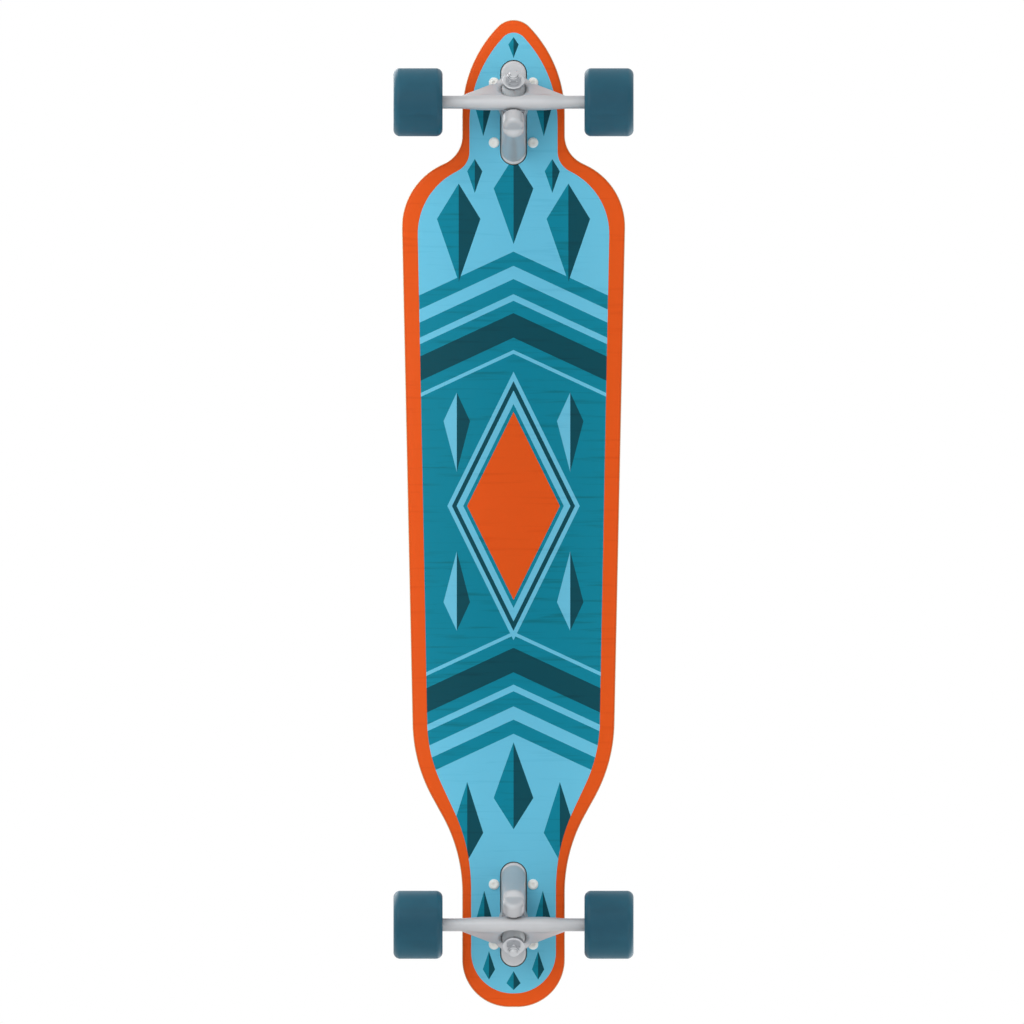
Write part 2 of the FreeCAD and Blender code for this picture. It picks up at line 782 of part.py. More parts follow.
def make_tyre():
    # Poured round the core, with a dished face and an open throat on both sides
    outside = wheel_diameter / 2
    face = wheel_face_diameter / 2
    throat = wheel_throat_diameter / 2
    hub = core_diameter / 2
    top = wheel_width / 2 - wheel_offset
    bottom = -wheel_width / 2 - wheel_offset
    throat_z = stack_half + wheel_throat_depth
    points = [(hub, -stack_half), (throat, -throat_z), (face, bottom), (outside, bottom)]
    points += [(outside, top), (face, top), (throat, throat_z), (hub, stack_half)]
    rounds = [0, wheel_face_round, wheel_face_round, wheel_lip_round]
    blank = turned(points, rounds + rounds[::-1])
    return blank.cut(make_core())


def wheel_placements():
    # Each wheel's frame has its Z axis along the axle, pointing away from the board
    places = {}
    for end, x in (("front", axle_x), ("rear", -axle_x)):
        for side, sign in (("left", 1), ("right", -1)):
            middle = FreeCAD.Vector(x, sign * bearing_y, axle_height)
            turn = FreeCAD.Rotation(x_axis, -90 * sign)
            places[end, side] = FreeCAD.Placement(middle, turn)
    return places


def build_nodes():
    nodes = {"deck": [make_deck()], "grip_tape": [make_grip_tape()]}

    bolts = []
    nuts = []
    nut = lock_nut(bolt_nut_across, bolt_nut_height, bolt_nut_collar, bolt_diameter)
    for u, v in bolt_places():
        bolt_base = FreeCAD.Placement(FreeCAD.Vector(u, v, -deck_thickness), FreeCAD.Rotation())
        nut_base = FreeCAD.Placement(FreeCAD.Vector(u, v, flange_thickness), FreeCAD.Rotation())
        bolts += at_trucks(placed(make_mount_bolt(), bolt_base))
        nuts += at_trucks(placed(nut, nut_base))
    nodes["mount_bolts"] = bolts
    nodes["mount_nuts"] = nuts

    steer = steer_placement()
    steered = {
        "pivot_cup": make_pivot_cup(),
        "kingpin": make_kingpin(),
        "kingpin_nut": make_kingpin_nut(),
        "board_washer": make_board_washer(),
        "road_washer": make_road_washer(),
        "board_bushing": make_bushing(bushing_diameter, -1),
        "road_bushing": make_bushing(cone_tip_diameter, 1),
        "hanger": make_hanger(),
    }
    truck = {name: placed(piece, steer) for name, piece in steered.items()}
    truck["baseplate"] = make_baseplate()
    axle_place = FreeCAD.Vector(axle_lead, 0, -axle_drop)
    truck["axle"] = placed(make_axle(), FreeCAD.Placement(axle_place, FreeCAD.Rotation(x_axis, 90)))
    for name, piece in truck.items():
        front, rear = at_trucks(piece)
        nodes["front_" + name] = [front]
        nodes["rear_" + name] = [rear]

    axle_sets = {
        "speed_rings": make_speed_rings(),
        "bearing_spacers": [make_spacer()],
        "axle_nuts": [make_axle_nut()],
    }
    wheel_sets = {
        "tyre": [make_tyre()],
        "core": [make_core()],
        "outer_races": at_bearings(make_outer_race()),
        "bearing_shields": at_bearings(make_shields()),
        "inner_races": at_bearings(make_inner_race()),
        "ball_sets": at_bearings(make_ball_set()),
    }
    for (end, side), place in wheel_placements().items():
        for name, pieces in axle_sets.items():
            group = nodes.setdefault(end + "_" + name, [])
            group += [placed(piece, place) for piece in pieces]
        for name, pieces in wheel_sets.items():
            nodes[end + "_" + side + "_" + name] = [placed(piece, place) for piece in pieces]
    return nodes


def write_nodes(nodes):
    os.makedirs("parts", exist_ok=True)
    for name, pieces in nodes.items():
        solids = [solid for piece in pieces for solid in piece.Solids]
        shape = solids[0] if len(solids) == 1 else Part.makeCompound(solids)
        shape.exportStep("parts/" + name + ".step")


write_nodes(build_nodes())
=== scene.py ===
import itertools
import json
import math
import bmesh
import bpy
import numpy as np
from mathutils import Matrix, Vector
from mathutils.geometry import delaunay_2d_cdt

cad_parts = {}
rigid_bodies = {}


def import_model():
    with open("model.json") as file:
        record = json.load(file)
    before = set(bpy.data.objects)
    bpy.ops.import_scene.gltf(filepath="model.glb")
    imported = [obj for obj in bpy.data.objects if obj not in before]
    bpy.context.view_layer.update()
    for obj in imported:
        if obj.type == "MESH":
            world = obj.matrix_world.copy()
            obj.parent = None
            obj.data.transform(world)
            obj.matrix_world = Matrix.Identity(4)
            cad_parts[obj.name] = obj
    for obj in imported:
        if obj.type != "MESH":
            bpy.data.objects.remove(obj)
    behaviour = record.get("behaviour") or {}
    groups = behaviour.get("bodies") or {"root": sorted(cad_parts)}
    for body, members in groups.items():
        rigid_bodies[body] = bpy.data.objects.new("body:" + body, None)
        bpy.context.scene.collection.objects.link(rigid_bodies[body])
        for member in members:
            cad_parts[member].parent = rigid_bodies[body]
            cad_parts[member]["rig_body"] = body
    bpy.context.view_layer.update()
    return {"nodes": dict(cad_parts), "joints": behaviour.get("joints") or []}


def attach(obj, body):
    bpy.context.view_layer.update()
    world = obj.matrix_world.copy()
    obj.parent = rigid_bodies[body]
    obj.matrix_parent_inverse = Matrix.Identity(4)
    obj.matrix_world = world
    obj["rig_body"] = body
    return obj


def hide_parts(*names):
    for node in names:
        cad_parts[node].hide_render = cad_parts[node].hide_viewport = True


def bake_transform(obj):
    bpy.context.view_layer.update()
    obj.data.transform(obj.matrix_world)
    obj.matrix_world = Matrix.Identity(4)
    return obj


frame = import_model()
nodes = frame["nodes"]
joints = {joint["name"]: joint for joint in frame["joints"]}

mm = 0.001   # sizes below are in millimetres, as on a drawing
ends = {"front": 1, "rear": -1}
sides = {"left": 1, "right": -1}
square = ((-1, -1), (1, -1), (1, 1), (-1, 1))
softCrease, threadCrease = 38, 14   # degrees past which an edge is drawn sharp
finestTurn = math.radians(4)   # most that a rounded corner turns from point to point
fewestSteps = 3   # least number of steps round such a corner
weldGap = 0.002 * mm   # points nearer than this are one


def linear(hexText):
    # sRGB hex to the linear colour that shaders work in
    shares = [int(hexText[at:at + 2], 16) / 255 for at in (1, 3, 5)]
    bright = [s / 12.92 if s <= 0.04045 else ((s + 0.055) / 1.055) ** 2.4 for s in shares]
    return (*bright, 1.0)


def addNode(tree, kind, links=None, **settings):
    # One node with its settings, and a value or a link for each socket given; a node links its first output
    node = tree.nodes.new(kind)
    for setting, value in settings.items():
        setattr(node, setting, value)
    for socket, source in (links or {}).items():
        if isinstance(source, bpy.types.Node):
            source = source.outputs[0]
        if isinstance(source, bpy.types.NodeSocket):
            tree.links.new(source, node.inputs[socket])
        else:
            node.inputs[socket].default_value = source
    return node


def newMaterial(name, shade, *look):
    # A material from the sockets that shade gives for a principled shader, or from a shader of its own
    material = bpy.data.materials.new(name)
    material.use_nodes = True
    tree = material.node_tree
    tree.nodes.clear()
    surface = shade(tree, *look)
    if isinstance(surface, dict):
        surface = addNode(tree, "ShaderNodeBsdfPrincipled", surface)
    addNode(tree, "ShaderNodeOutputMaterial", {"Surface": surface})
    return material


def newMaterials(shade, looks):
    return [newMaterial(name, shade, *look) for name, look in looks.items()]


def marksOver(tree, sizes, detail, roughness=0.5, distortion=0.0):
    # Grain, streaks or a fine skin over the object, of a real size in millimetres along X, Y and Z
    place = addNode(tree, "ShaderNodeTexCoord").outputs["Object"]
    scales = [1 / (size * mm) for size in sizes]
    scaled = addNode(tree, "ShaderNodeMapping", {"Vector": place, "Scale": scales})
    return addNode(tree, "ShaderNodeTexNoise", {
        "Vector": scaled, "Scale": 1.0, "Detail": detail, "Roughness": roughness, "Distortion": distortion})


def cloudTint(tree, width, lightHex, darkHex):
    # Two near colours that pass into each other in soft clouds
    cloud = marksOver(tree, (width, width, width), detail=2.0)
    tint = addNode(tree, "ShaderNodeMix", {
        0: cloud, 6: linear(lightHex), 7: linear(darkHex)}, data_type="RGBA")
    return tint.outputs[2]


def skinOf(tree, marks, roughness, strength, depth):
    # What marks do to a surface: roughness from least to most, and relief of a strength and a depth
    rough = addNode(tree, "ShaderNodeMapRange", {
        "Value": marks, "From Min": 0.3, "From Max": 0.7,   # nearly all of a noise lies between these
        "To Min": roughness[0], "To Max": roughness[1]})
    bumps = addNode(tree, "ShaderNodeBump", {"Height": marks, "Strength": strength, "Distance": depth * mm})
    return {"Roughness": rough, "Normal": bumps}


inkLook = {
    "grain": ((90.0, 1.6, 1.6), 4.0, 0.6),   # maple pores that ghost through the film
    "streaks": ((5.0, 85.0, 85.0), 3.0, 0.55, 0.3),   # left by the squeegee, across the board
    "streakFade": 0.16, "streakShare": 0.85,
    "roughness": (0.38, 0.52), "gloss": 0.12, "relief": (0.5, 0.03),
}
inkTints = {
    # the film's colour, its streaks' colour, and how rare the streaks are
    "screenInkOrange": ("#E55614", "#DC4F0F", 0.56),
    "screenInkSky": ("#6BC2DE", "#63BAD7", 0.56),
    "screenInkTeal": ("#028299", "#01707F", 0.53),
    "screenInkDarkTeal": ("#004753", "#003E49", 0.56),
}


def printedInk(tree, inkHex, streakHex, streakFrom):
    # Screen-printed ink under satin lacquer: flat colour, faint squeegee streaks, a soft sheen
    look = inkLook
    grain = marksOver(tree, *look["grain"])
    band = addNode(tree, "ShaderNodeMapRange", {
        "Value": marksOver(tree, *look["streaks"]), "From Min": streakFrom,
        "From Max": streakFrom + look["streakFade"], "To Max": look["streakShare"]})
    tint = addNode(tree, "ShaderNodeMix", {
        0: band, 6: linear(inkHex), 7: linear(streakHex)}, data_type="RGBA")
    return {"Base Color": tint.outputs[2], "Specular IOR Level": look["gloss"],
            **skinOf(tree, grain, look["roughness"], *look["relief"])}


mapleLook = {
    "light": "#DDBE8E", "dark": "#C79F68", "glue": "#8A6437",
    "plies": ("#DDBE8E", "#C9A26C", "#DDBE8E", "#E0672A", "#DDBE8E",
              "#2E93A6", "#DDBE8E", "#C9A26C", "#DDBE8E"),
    "grain": ((70.0, 1.8, 1.8), 5.0, 0.62, 0.4), "glueShare": 0.09, "glueTint": 0.6,
    "edgeGrain": 0.9, "specksPerPly": 2.0,
    # roughness, how strongly and deeply the grain stands out, weight and roughness of the lacquer
    "face": (0.42, 0.4, 0.05, 0.25, 0.2), "edge": (0.48, 0.35, 0.08, 0.2, 0.25),
}


def lacquered(tree, tint, grain, roughness, strength, depth, coat, coatRoughness):
    # Wood under a clear coat
    relief = addNode(tree, "ShaderNodeBump", {"Height": grain, "Strength": strength, "Distance": depth * mm})
    return {"Base Color": tint.outputs[2], "Roughness": roughness, "Normal": relief,
            "Coat Weight": coat, "Coat Roughness": coatRoughness}


def mapleVeneer(tree):
    # Rotary-cut maple veneer, sanded and lacquered: pale, with fine long grain lines
    look = mapleLook
    grain = marksOver(tree, *look["grain"])
    line = addNode(tree, "ShaderNodeMapRange", {"Value": grain, "From Min": 0.42, "From Max": 0.68})
    tint = addNode(tree, "ShaderNodeMix", {
        0: line, 6: linear(look["light"]), 7: linear(look["dark"])}, data_type="RGBA")
    return lacquered(tree, tint, grain, *look["face"])


def plyEdge(tree):
    # Cut edge of the pressed veneers: stripes with thin glue lines, end grain as fine specks
    look = mapleLook
    onWall = addNode(tree, "ShaderNodeUVMap", uv_map="wall")
    height = addNode(tree, "ShaderNodeSeparateXYZ", {0: onWall}).outputs[1]
    stripes = addNode(tree, "ShaderNodeValToRGB", {0: height})
    ramp = stripes.color_ramp
    ramp.interpolation = "CONSTANT"
    count = len(look["plies"])
    for index, plyHex in enumerate(look["plies"]):
        stop = ramp.elements[index] if index < 2 else ramp.elements.new(index / count)
        stop.position = index / count
        stop.color = linear(plyHex)
    inPly = addNode(tree, "ShaderNodeMath", {0: height, 1: float(count)}, operation="MULTIPLY")
    share = addNode(tree, "ShaderNodeMath", {0: inPly, 1: 1.0}, operation="PINGPONG")
    glue = addNode(tree, "ShaderNodeMath", {0: share, 1: look["glueShare"]}, operation="LESS_THAN")
    speckPlace = addNode(tree, "ShaderNodeMapping", {
        "Vector": onWall, "Scale": (1 / (look["edgeGrain"] * mm), count * look["specksPerPly"], 1.0)})
    speck = addNode(tree, "ShaderNodeTexNoise", {
        "Vector": speckPlace, "Scale": 0.6, "Detail": 3.0, "Roughness": 0.6})
    shade = addNode(tree, "ShaderNodeMapRange", {
        "Value": speck, "From Min": 0.45, "From Max": 0.75, "To Max": 0.35})
    dark = linear(look["glue"])
    grained = addNode(tree, "ShaderNodeMix", {0: shade, 6: stripes, 7: dark}, data_type="RGBA")
    faint = addNode(tree, "ShaderNodeMath", {0: glue, 1: look["glueTint"]}, operation="MULTIPLY")
    tint = addNode(tree, "ShaderNodeMix", {0: faint, 6: grained.outputs[2], 7: dark}, data_type="RGBA")
    return lacquered(tree, tint, speck, *look["edge"])


gripLook = {"grit": "#131417", "crest": "#3E4044", "filed": "#8F9092", "gritSize": 1.1, "relief": 0.35,
            "clumpShare": 0.7, "roughness": 0.72, "gloss": 0.3}


def gripPaper(tree):
    # Silicon-carbide grit glued on film: black and rough with small glints, filed grey along its rim
    # (the grit is drawn at 1.1 mm, about twice its real size, so that it shows)
    look = gripLook
    place = addNode(tree, "ShaderNodeTexCoord").outputs["Object"]
    dense = 1 / (look["gritSize"] * mm)
    grains = addNode(tree, "ShaderNodeTexVoronoi", {"Vector": place, "Scale": dense})
    cloud = addNode(tree, "ShaderNodeTexNoise", {
        "Vector": place, "Scale": dense * look["clumpShare"], "Detail": 3.0})
    crest = addNode(tree, "ShaderNodeMapRange", {
        "Value": cloud, "From Min": 0.55, "From Max": 0.75, "To Max": 0.7})
    tint = addNode(tree, "ShaderNodeMix", {
        0: crest, 6: linear(look["grit"]), 7: linear(look["crest"])}, data_type="RGBA")
    rim = addNode(tree, "ShaderNodeAttribute", attribute_name="rimWear").outputs["Fac"]
    rubbed = addNode(tree, "ShaderNodeMath", {0: rim, 1: cloud}, operation="MULTIPLY")
    worn = addNode(tree, "ShaderNodeMix", {
        0: rubbed, 6: tint.outputs[2], 7: linear(look["filed"])}, data_type="RGBA")
    relief = addNode(tree, "ShaderNodeBump", {
        "Height": grains, "Strength": 0.9, "Distance": look["relief"] * mm})
    return {"Base Color": worn.outputs[2], "Roughness": look["roughness"], "Normal": relief,
            "Specular IOR Level": look["gloss"]}


castLook = {"light": "#C7C8CA", "dark": "#BFC0C3", "cloud": 18.0, "peel": ((1.4, 1.4, 1.4), 3.0),
            "roughness": (0.32, 0.46), "relief": (0.35, 0.12), "metallic": 0.35}


def castAluminium(tree):
    # Die-cast aluminium, tumbled and powder-coated in satin light grey: faint orange peel
    look = castLook
    peel = marksOver(tree, *look["peel"])
    return {"Base Color": cloudTint(tree, look["cloud"], look["light"], look["dark"]),
            "Metallic": look["metallic"], **skinOf(tree, peel, look["roughness"], *look["relief"])}


wheelLook = {"light": "#245E72", "dark": "#20576B", "cloud": 14.0, "ringDepth": 0.08,
             "rings": ((math.inf, 0.55, math.inf), 2.0, 0.7), "roughness": (0.42, 0.55), "gloss": 0.28,
             "glow": 0.25, "glowReach": 5.0, "glowTint": (0.4, 0.9, 1.0)}


def wheelUrethane(tree):
    # Poured urethane, ground on the tread: dark blue, satin, with fine rings where the stone cut it
    look = wheelLook
    rings = marksOver(tree, *look["rings"])
    tread = addNode(tree, "ShaderNodeAttribute", attribute_name="tread").outputs["Fac"]
    ground = addNode(tree, "ShaderNodeMath", {0: rings, 1: tread}, operation="MULTIPLY")
    poured, cut = look["roughness"]
    rough = addNode(tree, "ShaderNodeMapRange", {"Value": tread, "To Min": poured, "To Max": cut})
    bumps = addNode(tree, "ShaderNodeBump", {
        "Height": ground, "Strength": 0.5, "Distance": look["ringDepth"] * mm})
    return {"Base Color": cloudTint(tree, look["cloud"], look["light"], look["dark"]),
            "Roughness": rough, "Normal": bumps,
            "Specular IOR Level": look["gloss"], "Subsurface Weight": look["glow"],
            "Subsurface Radius": look["glowTint"], "Subsurface Scale": look["glowReach"] * mm}


metalSkin = {"noise": (4.0, 0.6), "relief": 0.5}   # detail and roughness of the noise
metalLooks = {
    # colour, least and most roughness, size of the marks along X, Y and Z, and their depth
    "zincPlatedSteel": ("#C4C6C9", (0.26, 0.38), (0.5, 0.5, 0.5), 0.02),   # bright, faintly mottled
    "turnedAxleSteel": ("#AEB1B5", (0.22, 0.34), (0.4, 8.0, 0.4), 0.015),   # grey, lines along the rod
    "groundBearingSteel": ("#C2C4C7", (0.10, 0.18), (0.3, 3.0, 0.3), 0.005),   # nearly a mirror
    "pressedShieldSteel": ("#85888C", (0.3, 0.42), (0.6, 6.0, 0.6), 0.02),   # satin grey sheet
}


def metal(tree, baseHex, roughness, sizes, depth):
    # Bare metal: its finish is all in how rough the skin is and which way its marks run
    marks = marksOver(tree, sizes, *metalSkin["noise"])
    return {"Base Color": linear(baseHex), "Metallic": 1.0,
            **skinOf(tree, marks, roughness, metalSkin["relief"], depth)}


plasticSkin = {"cloud": 9.0, "noise": (3.0, 0.6), "relief": 0.4,
               "glowReach": 4.0, "glowTint": (0.6, 0.9, 1.0)}
plasticLooks = {
    # two colours, least and most roughness, width and depth of the skin, how much light gets in
    "glassFilledNylonCore": ("#0B4C5F", "#0E5468", (0.4, 0.55), 0.6, 0.04, 0.0),   # dull, dark blue
    "mouldedUrethaneCup": ("#2A2E31", "#33373A", (0.4, 0.55), 0.7, 0.03, 0.0),   # black, waxy
    "pouredUrethaneBushing": ("#D3D6D8", "#C9CDD0", (0.28, 0.4), 0.9, 0.02, 0.3),   # milky pale grey
    "bakedWhiteEnamel": ("#FBFAF5", "#F6F4EE", (0.2, 0.3), 0.8, 0.01, 0.0),   # glossy warm white
    "mouldedNylonRing": ("#E6E7E3", "#DBDDDA", (0.35, 0.45), 0.6, 0.02, 0.2),   # dull white
}


def plastic(tree, baseHex, otherHex, roughness, width, depth, glow):
    # Moulded or poured plastic, or enamel: a hint of cloud in the colour, a fine skin, some light let in
    look = plasticSkin
    fine = marksOver(tree, (width, width, width), *look["noise"])
    return {"Base Color": cloudTint(tree, look["cloud"], baseHex, otherHex),
            "Subsurface Weight": glow, "Subsurface Radius": look["glowTint"],
            "Subsurface Scale": look["glowReach"] * mm,
            **skinOf(tree, fine, roughness, look["relief"], depth)}


inks = newMaterials(printedInk, inkTints)
maple = newMaterial("mapleVeneerLacquered", mapleVeneer)
plies = newMaterial("mapleplyCutEdge", plyEdge)
grit = newMaterial("siliconCarbideGrit", gripPaper)
castGrey = newMaterial("castAluminiumPowderCoat", castAluminium)
urethane = newMaterial("pouredUrethaneGround", wheelUrethane)
zinc, axleSteel, raceSteel, shieldSteel = newMaterials(metal, metalLooks)
coreNylon, cupUrethane, bushingUrethane, boltEnamel, nylonRing = newMaterials(plastic, plasticLooks)
print("finishes:", len(bpy.data.materials), "materials")


def addObject(name, data):
    made = bpy.data.objects.new(name, data)
    bpy.context.scene.collection.objects.link(made)
    return made


def newPiece(name, mesh, *materials):
    for material in materials:
        mesh.materials.append(material)
    return addObject(name, mesh)


def tie(piece, body, slot, *standsFor):
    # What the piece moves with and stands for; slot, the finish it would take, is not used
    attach(piece, body)
    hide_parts(*standsFor)


def meshFrom(bm, name, crease=softCrease):
    bm.normal_update()
    for face in bm.faces:
        face.smooth = True
    mesh = bpy.data.meshes.new(name)
    bm.to_mesh(mesh)
    bm.free()
    mesh.set_sharp_from_angle(angle=math.radians(crease))
    return mesh


def plainMesh(piece):
    # The evaluated result as the piece's own mesh, with the modifiers gone
    graph = bpy.context.evaluated_depsgraph_get()
    mesh = bpy.data.meshes.new_from_object(piece.evaluated_get(graph))
    piece.modifiers.clear()
    before = piece.data
    piece.data = mesh
    bpy.data.meshes.remove(before)


def roundedLoop(corners, step):
    # Closed run of points: straight sides, each corner rounded by its own radius
    points = [np.array(corner[:2], float) for corner in corners]
    loop = []
    for index, (_, _, radius) in enumerate(corners):
        corner = points[index]
        back = points[index - 1] - corner
        ahead = points[(index + 1) % len(points)] - corner
        back, ahead = back / np.linalg.norm(back), ahead / np.linalg.norm(ahead)
        if not radius:
            loop.append(corner)
            continue
        half = math.acos(np.clip(back @ ahead, -1, 1)) / 2
        middle = (back + ahead) / np.linalg.norm(back + ahead)
        centre = corner + middle * radius / math.sin(half)
        start = corner + back * radius / math.tan(half) - centre
        turn = math.pi - 2 * half
        if back[0] * ahead[1] - back[1] * ahead[0] > 0:
            turn = -turn
        count = max(fewestSteps, math.ceil(abs(turn) * radius / step), math.ceil(abs(turn) / finestTurn))
        for share in np.linspace(0, 1, count + 1):
            c, s = math.cos(turn * share), math.sin(turn * share)
            loop.append(centre + np.array([c * start[0] - s * start[1], s * start[0] + c * start[1]]))
    dense = []
    for index, point in enumerate(loop):
        following = loop[(index + 1) % len(loop)]
        count = max(1, math.ceil(np.linalg.norm(following - point) / step))
        dense += [point + (following - point) * share / count for share in range(count)]
    return np.array(dense)


def outwardOf(loop):
    # Unit vectors that point out of a loop that runs anticlockwise
    run = np.roll(loop, -1, 0) - np.roll(loop, 1, 0)
    run /= np.linalg.norm(run, axis=1)[:, None]
    return np.stack([run[:, 1], -run[:, 0]], 1)


def insideLoop(points, loop):
    inside = np.zeros(len(points), bool)
    for (ax, ay), (bx, by) in zip(loop, np.roll(loop, -1, 0)):
        if ay == by:
            continue
        spans = (points[:, 1] < ay) != (points[:, 1] < by)
        cross = ax + (points[:, 1] - ay) * (bx - ax) / (by - ay)
        inside ^= spans & (points[:, 0] < cross)
    return inside


deckSizes = {
    "bottom": 86.5, "thickness": 11.5, "edgeRound": 3.5, "step": 5.0,
    "nose": (522.0, 23.5),   # where the tip is, and its radius
    "corners": ((476.0, 54.25, 133.0), (379.5, 54.25, 32.5), (348.0, 119.0, 72.0),
                (-264.0, 106.0, 168.0), (-358.0, 54.25, 168.0), (-522.0, 54.25, 50.0)),
    "hollow": 8.0, "hollowHalf": 119.0, "hollowReach": 350.0, "hollowSlack": 0.001,
    "pressShares": (0, 0, 0, 1, 1, 1, 1, 1, 1, 1, 1, 0, 0, 0),
    "truckX": 424.0, "slot": (111.5, 28.5), "slotStep": 2.0,
    "boltGrid": (63.5, 41.3), "boltHole": 5.4, "holeStep": 0.4,
    "slotSlack": 0.01, "holeSlack": 0.001,   # short sides left between the arcs of a full round
}
deckTop = deckSizes["bottom"] + deckSizes["thickness"]
panelSizes = {
    "nose": (508.6, 14.4),   # the printed panel inside the border, which is wider on the platform
    "corners": ((465.5, 46.6, 133.0), (369.0, 46.6, 23.0), (339.3, 102.1, 73.5),
                (-255.0, 90.7, 158.0), (-353.7, 44.8, 200.0), (-507.5, 44.8, 43.5)),
}
gripSizes = {
    "bottom": deckTop, "thickness": 0.8, "edgeRound": 0.25, "step": 6.0, "inset": 4.5,
    "window": (130.4, 62.4, 17.2), "windowStep": 3.0,
    "trim": 2.4, "wear": 1.2,   # how far in the file has rubbed the rim, and how hard
}
rimRound = {"steps": 5, "painted": 3}   # steps of a rounded rim, and how many of the lower ones ink covers


def boardLoop(sizes, step):
    # Plan outline from the rounded nose tip along one side, round the tail and back
    tip, radius = sizes["nose"]
    x, half, _ = sizes["corners"][0]
    reach = math.hypot(tip - radius - x, half)
    flank = math.atan2(half, tip - radius - x) - math.asin(radius / reach)
    apex = (x + half / math.tan(flank), 0.0, radius)
    mirrored = [(x, -y, r) for x, y, r in reversed(sizes["corners"])]
    return roundedLoop([apex, *sizes["corners"], *mirrored], step)


def boxLoop(x, y, length, width, radius, step):
    corners = [(x + u * length / 2, y + v * width / 2, radius) for u, v in square]
    return roundedLoop(corners, step)


def hollowAt(points):
    # What the press lifts: a shallow trough along the platform that fades out before the trucks
    shares, reach = deckSizes["pressShares"], deckSizes["hollowReach"]
    spans = len(shares) - 3
    knots = np.concatenate([[-reach] * 3, np.linspace(-reach, reach, spans + 1), [reach] * 3])
    x = np.clip(points[:, 0], -reach, reach - deckSizes["hollowSlack"])   # within the last span
    basis = [((x >= a) & (x < b)).astype(float) for a, b in zip(knots, knots[1:])]
    for degree in (1, 2, 3):
        raised = []
        for i in range(len(basis) - 1):
            rise, fall = knots[i + degree] - knots[i], knots[i + degree + 1] - knots[i + 1]
            part = (x - knots[i]) / rise * basis[i] if rise else 0.0
            part = part + ((knots[i + degree + 1] - x) / fall * basis[i + 1] if fall else 0.0)
            raised.append(part)
        basis = raised
    share = sum(s * b for s, b in zip(shares, basis))
    return deckSizes["hollow"] * share * (points[:, 1] / deckSizes["hollowHalf"]) ** 2


def fillFace(loops, lines, step):
    # Triangles inside the first loop and outside the others, with every line kept as edges
    sameSpot = 1e-5
    points, edges = [], []
    for loop in [*loops, *lines]:
        first, count = len(points), len(loop)
        points += [Vector(point) for point in loop]
        edges += [(first + i, first + (i + 1) % count) for i in range(count)]
    outer = np.asarray(loops[0])
    low, high = outer.min(0), outer.max(0)
    across = np.meshgrid(np.arange(low[0], high[0], step), np.arange(low[1], high[1], step))
    grid = np.stack(across, -1).reshape(-1, 2)
    grid = grid[insideLoop(grid, outer - outwardOf(outer) * step / 2)]
    points += [Vector(point) for point in grid]
    spots, _, faces, origins, _, _ = delaunay_2d_cdt(points, edges, [], 0, sameSpot, True)
    spots = np.array([tuple(spot) for spot in spots])
    faces = np.array(faces)
    a, b, c = (spots[faces[:, i]] for i in range(3))
    turned = (b[:, 0] - a[:, 0]) * (c[:, 1] - a[:, 1]) < (b[:, 1] - a[:, 1]) * (c[:, 0] - a[:, 0])
    faces[turned] = faces[turned][:, ::-1]
    middles = spots[faces].mean(1)
    kept = insideLoop(middles, outer)
    for hole in loops[1:]:
        kept &= ~insideLoop(middles, hole)
    return spots, faces[kept], middles[kept], origins


def openRuns(faces):
    # Closed runs of the edges that have a face on one side only, the longest first
    edges = {(a, b) for face in faces for a, b in zip(face, face[1:] + face[:1])}
    following = {a: b for a, b in edges if (b, a) not in edges}
    runs = []
    while following:
        start = min(following)
        run, after = [start], following.pop(start)
        while after != start:
            run.append(after)
            after = following.pop(after)
        runs.append(run)
    return sorted(runs, key=len, reverse=True)


def rimRings(sizes, finish):
    # How far out, how high and in which finish each ring lies, from the underside up to the top
    rim, low, high = sizes["edgeRound"], sizes["bottom"], sizes["bottom"] + sizes["thickness"]
    steps, painted = rimRound["steps"], rimRound["painted"]
    quarter = [math.radians(90 * step / steps) for step in range(1, steps + 1)]
    inked = [finish["lowerRim"]] * painted + [finish["wall"]] * (steps - painted)
    lower = [(rim * math.sin(a), low + rim * (1 - math.cos(a)), ink) for a, ink in zip(quarter, inked)]
    upper = [(rim * math.cos(a), high - rim * (1 - math.sin(a)), finish["wall"]) for a in quarter]
    return [*lower, (rim, high - rim, finish["wall"]), *upper]


def wallInto(bm, wall, plan, lower, rings, bottom, top):
    # A wall ring by ring up from a closed run, with its length and height laid out on the wall's UV map
    outward = outwardOf(plan)
    along = np.concatenate([[0], np.cumsum(np.linalg.norm(np.roll(plan, -1, 0) - plan, axis=1))]) * mm
    height = bottom
    for offset, level, ink in rings:
        ring = [bm.verts.new((*spot, level)) for spot in plan + outward * offset]
        for i in range(len(plan)):
            j = (i + 1) % len(plan)
            face = bm.faces.new((lower[i], lower[j], ring[j], ring[i]))
            face.material_index = ink
            u = (along[i], along[i + 1], along[i + 1], along[i])
            v = [(z - bottom) / (top - bottom) for z in (height, height, level, level)]
            for corner, spot in zip(face.loops, zip(u, v)):
                corner[wall].uv = spot
        lower, height = ring, level
    return lower


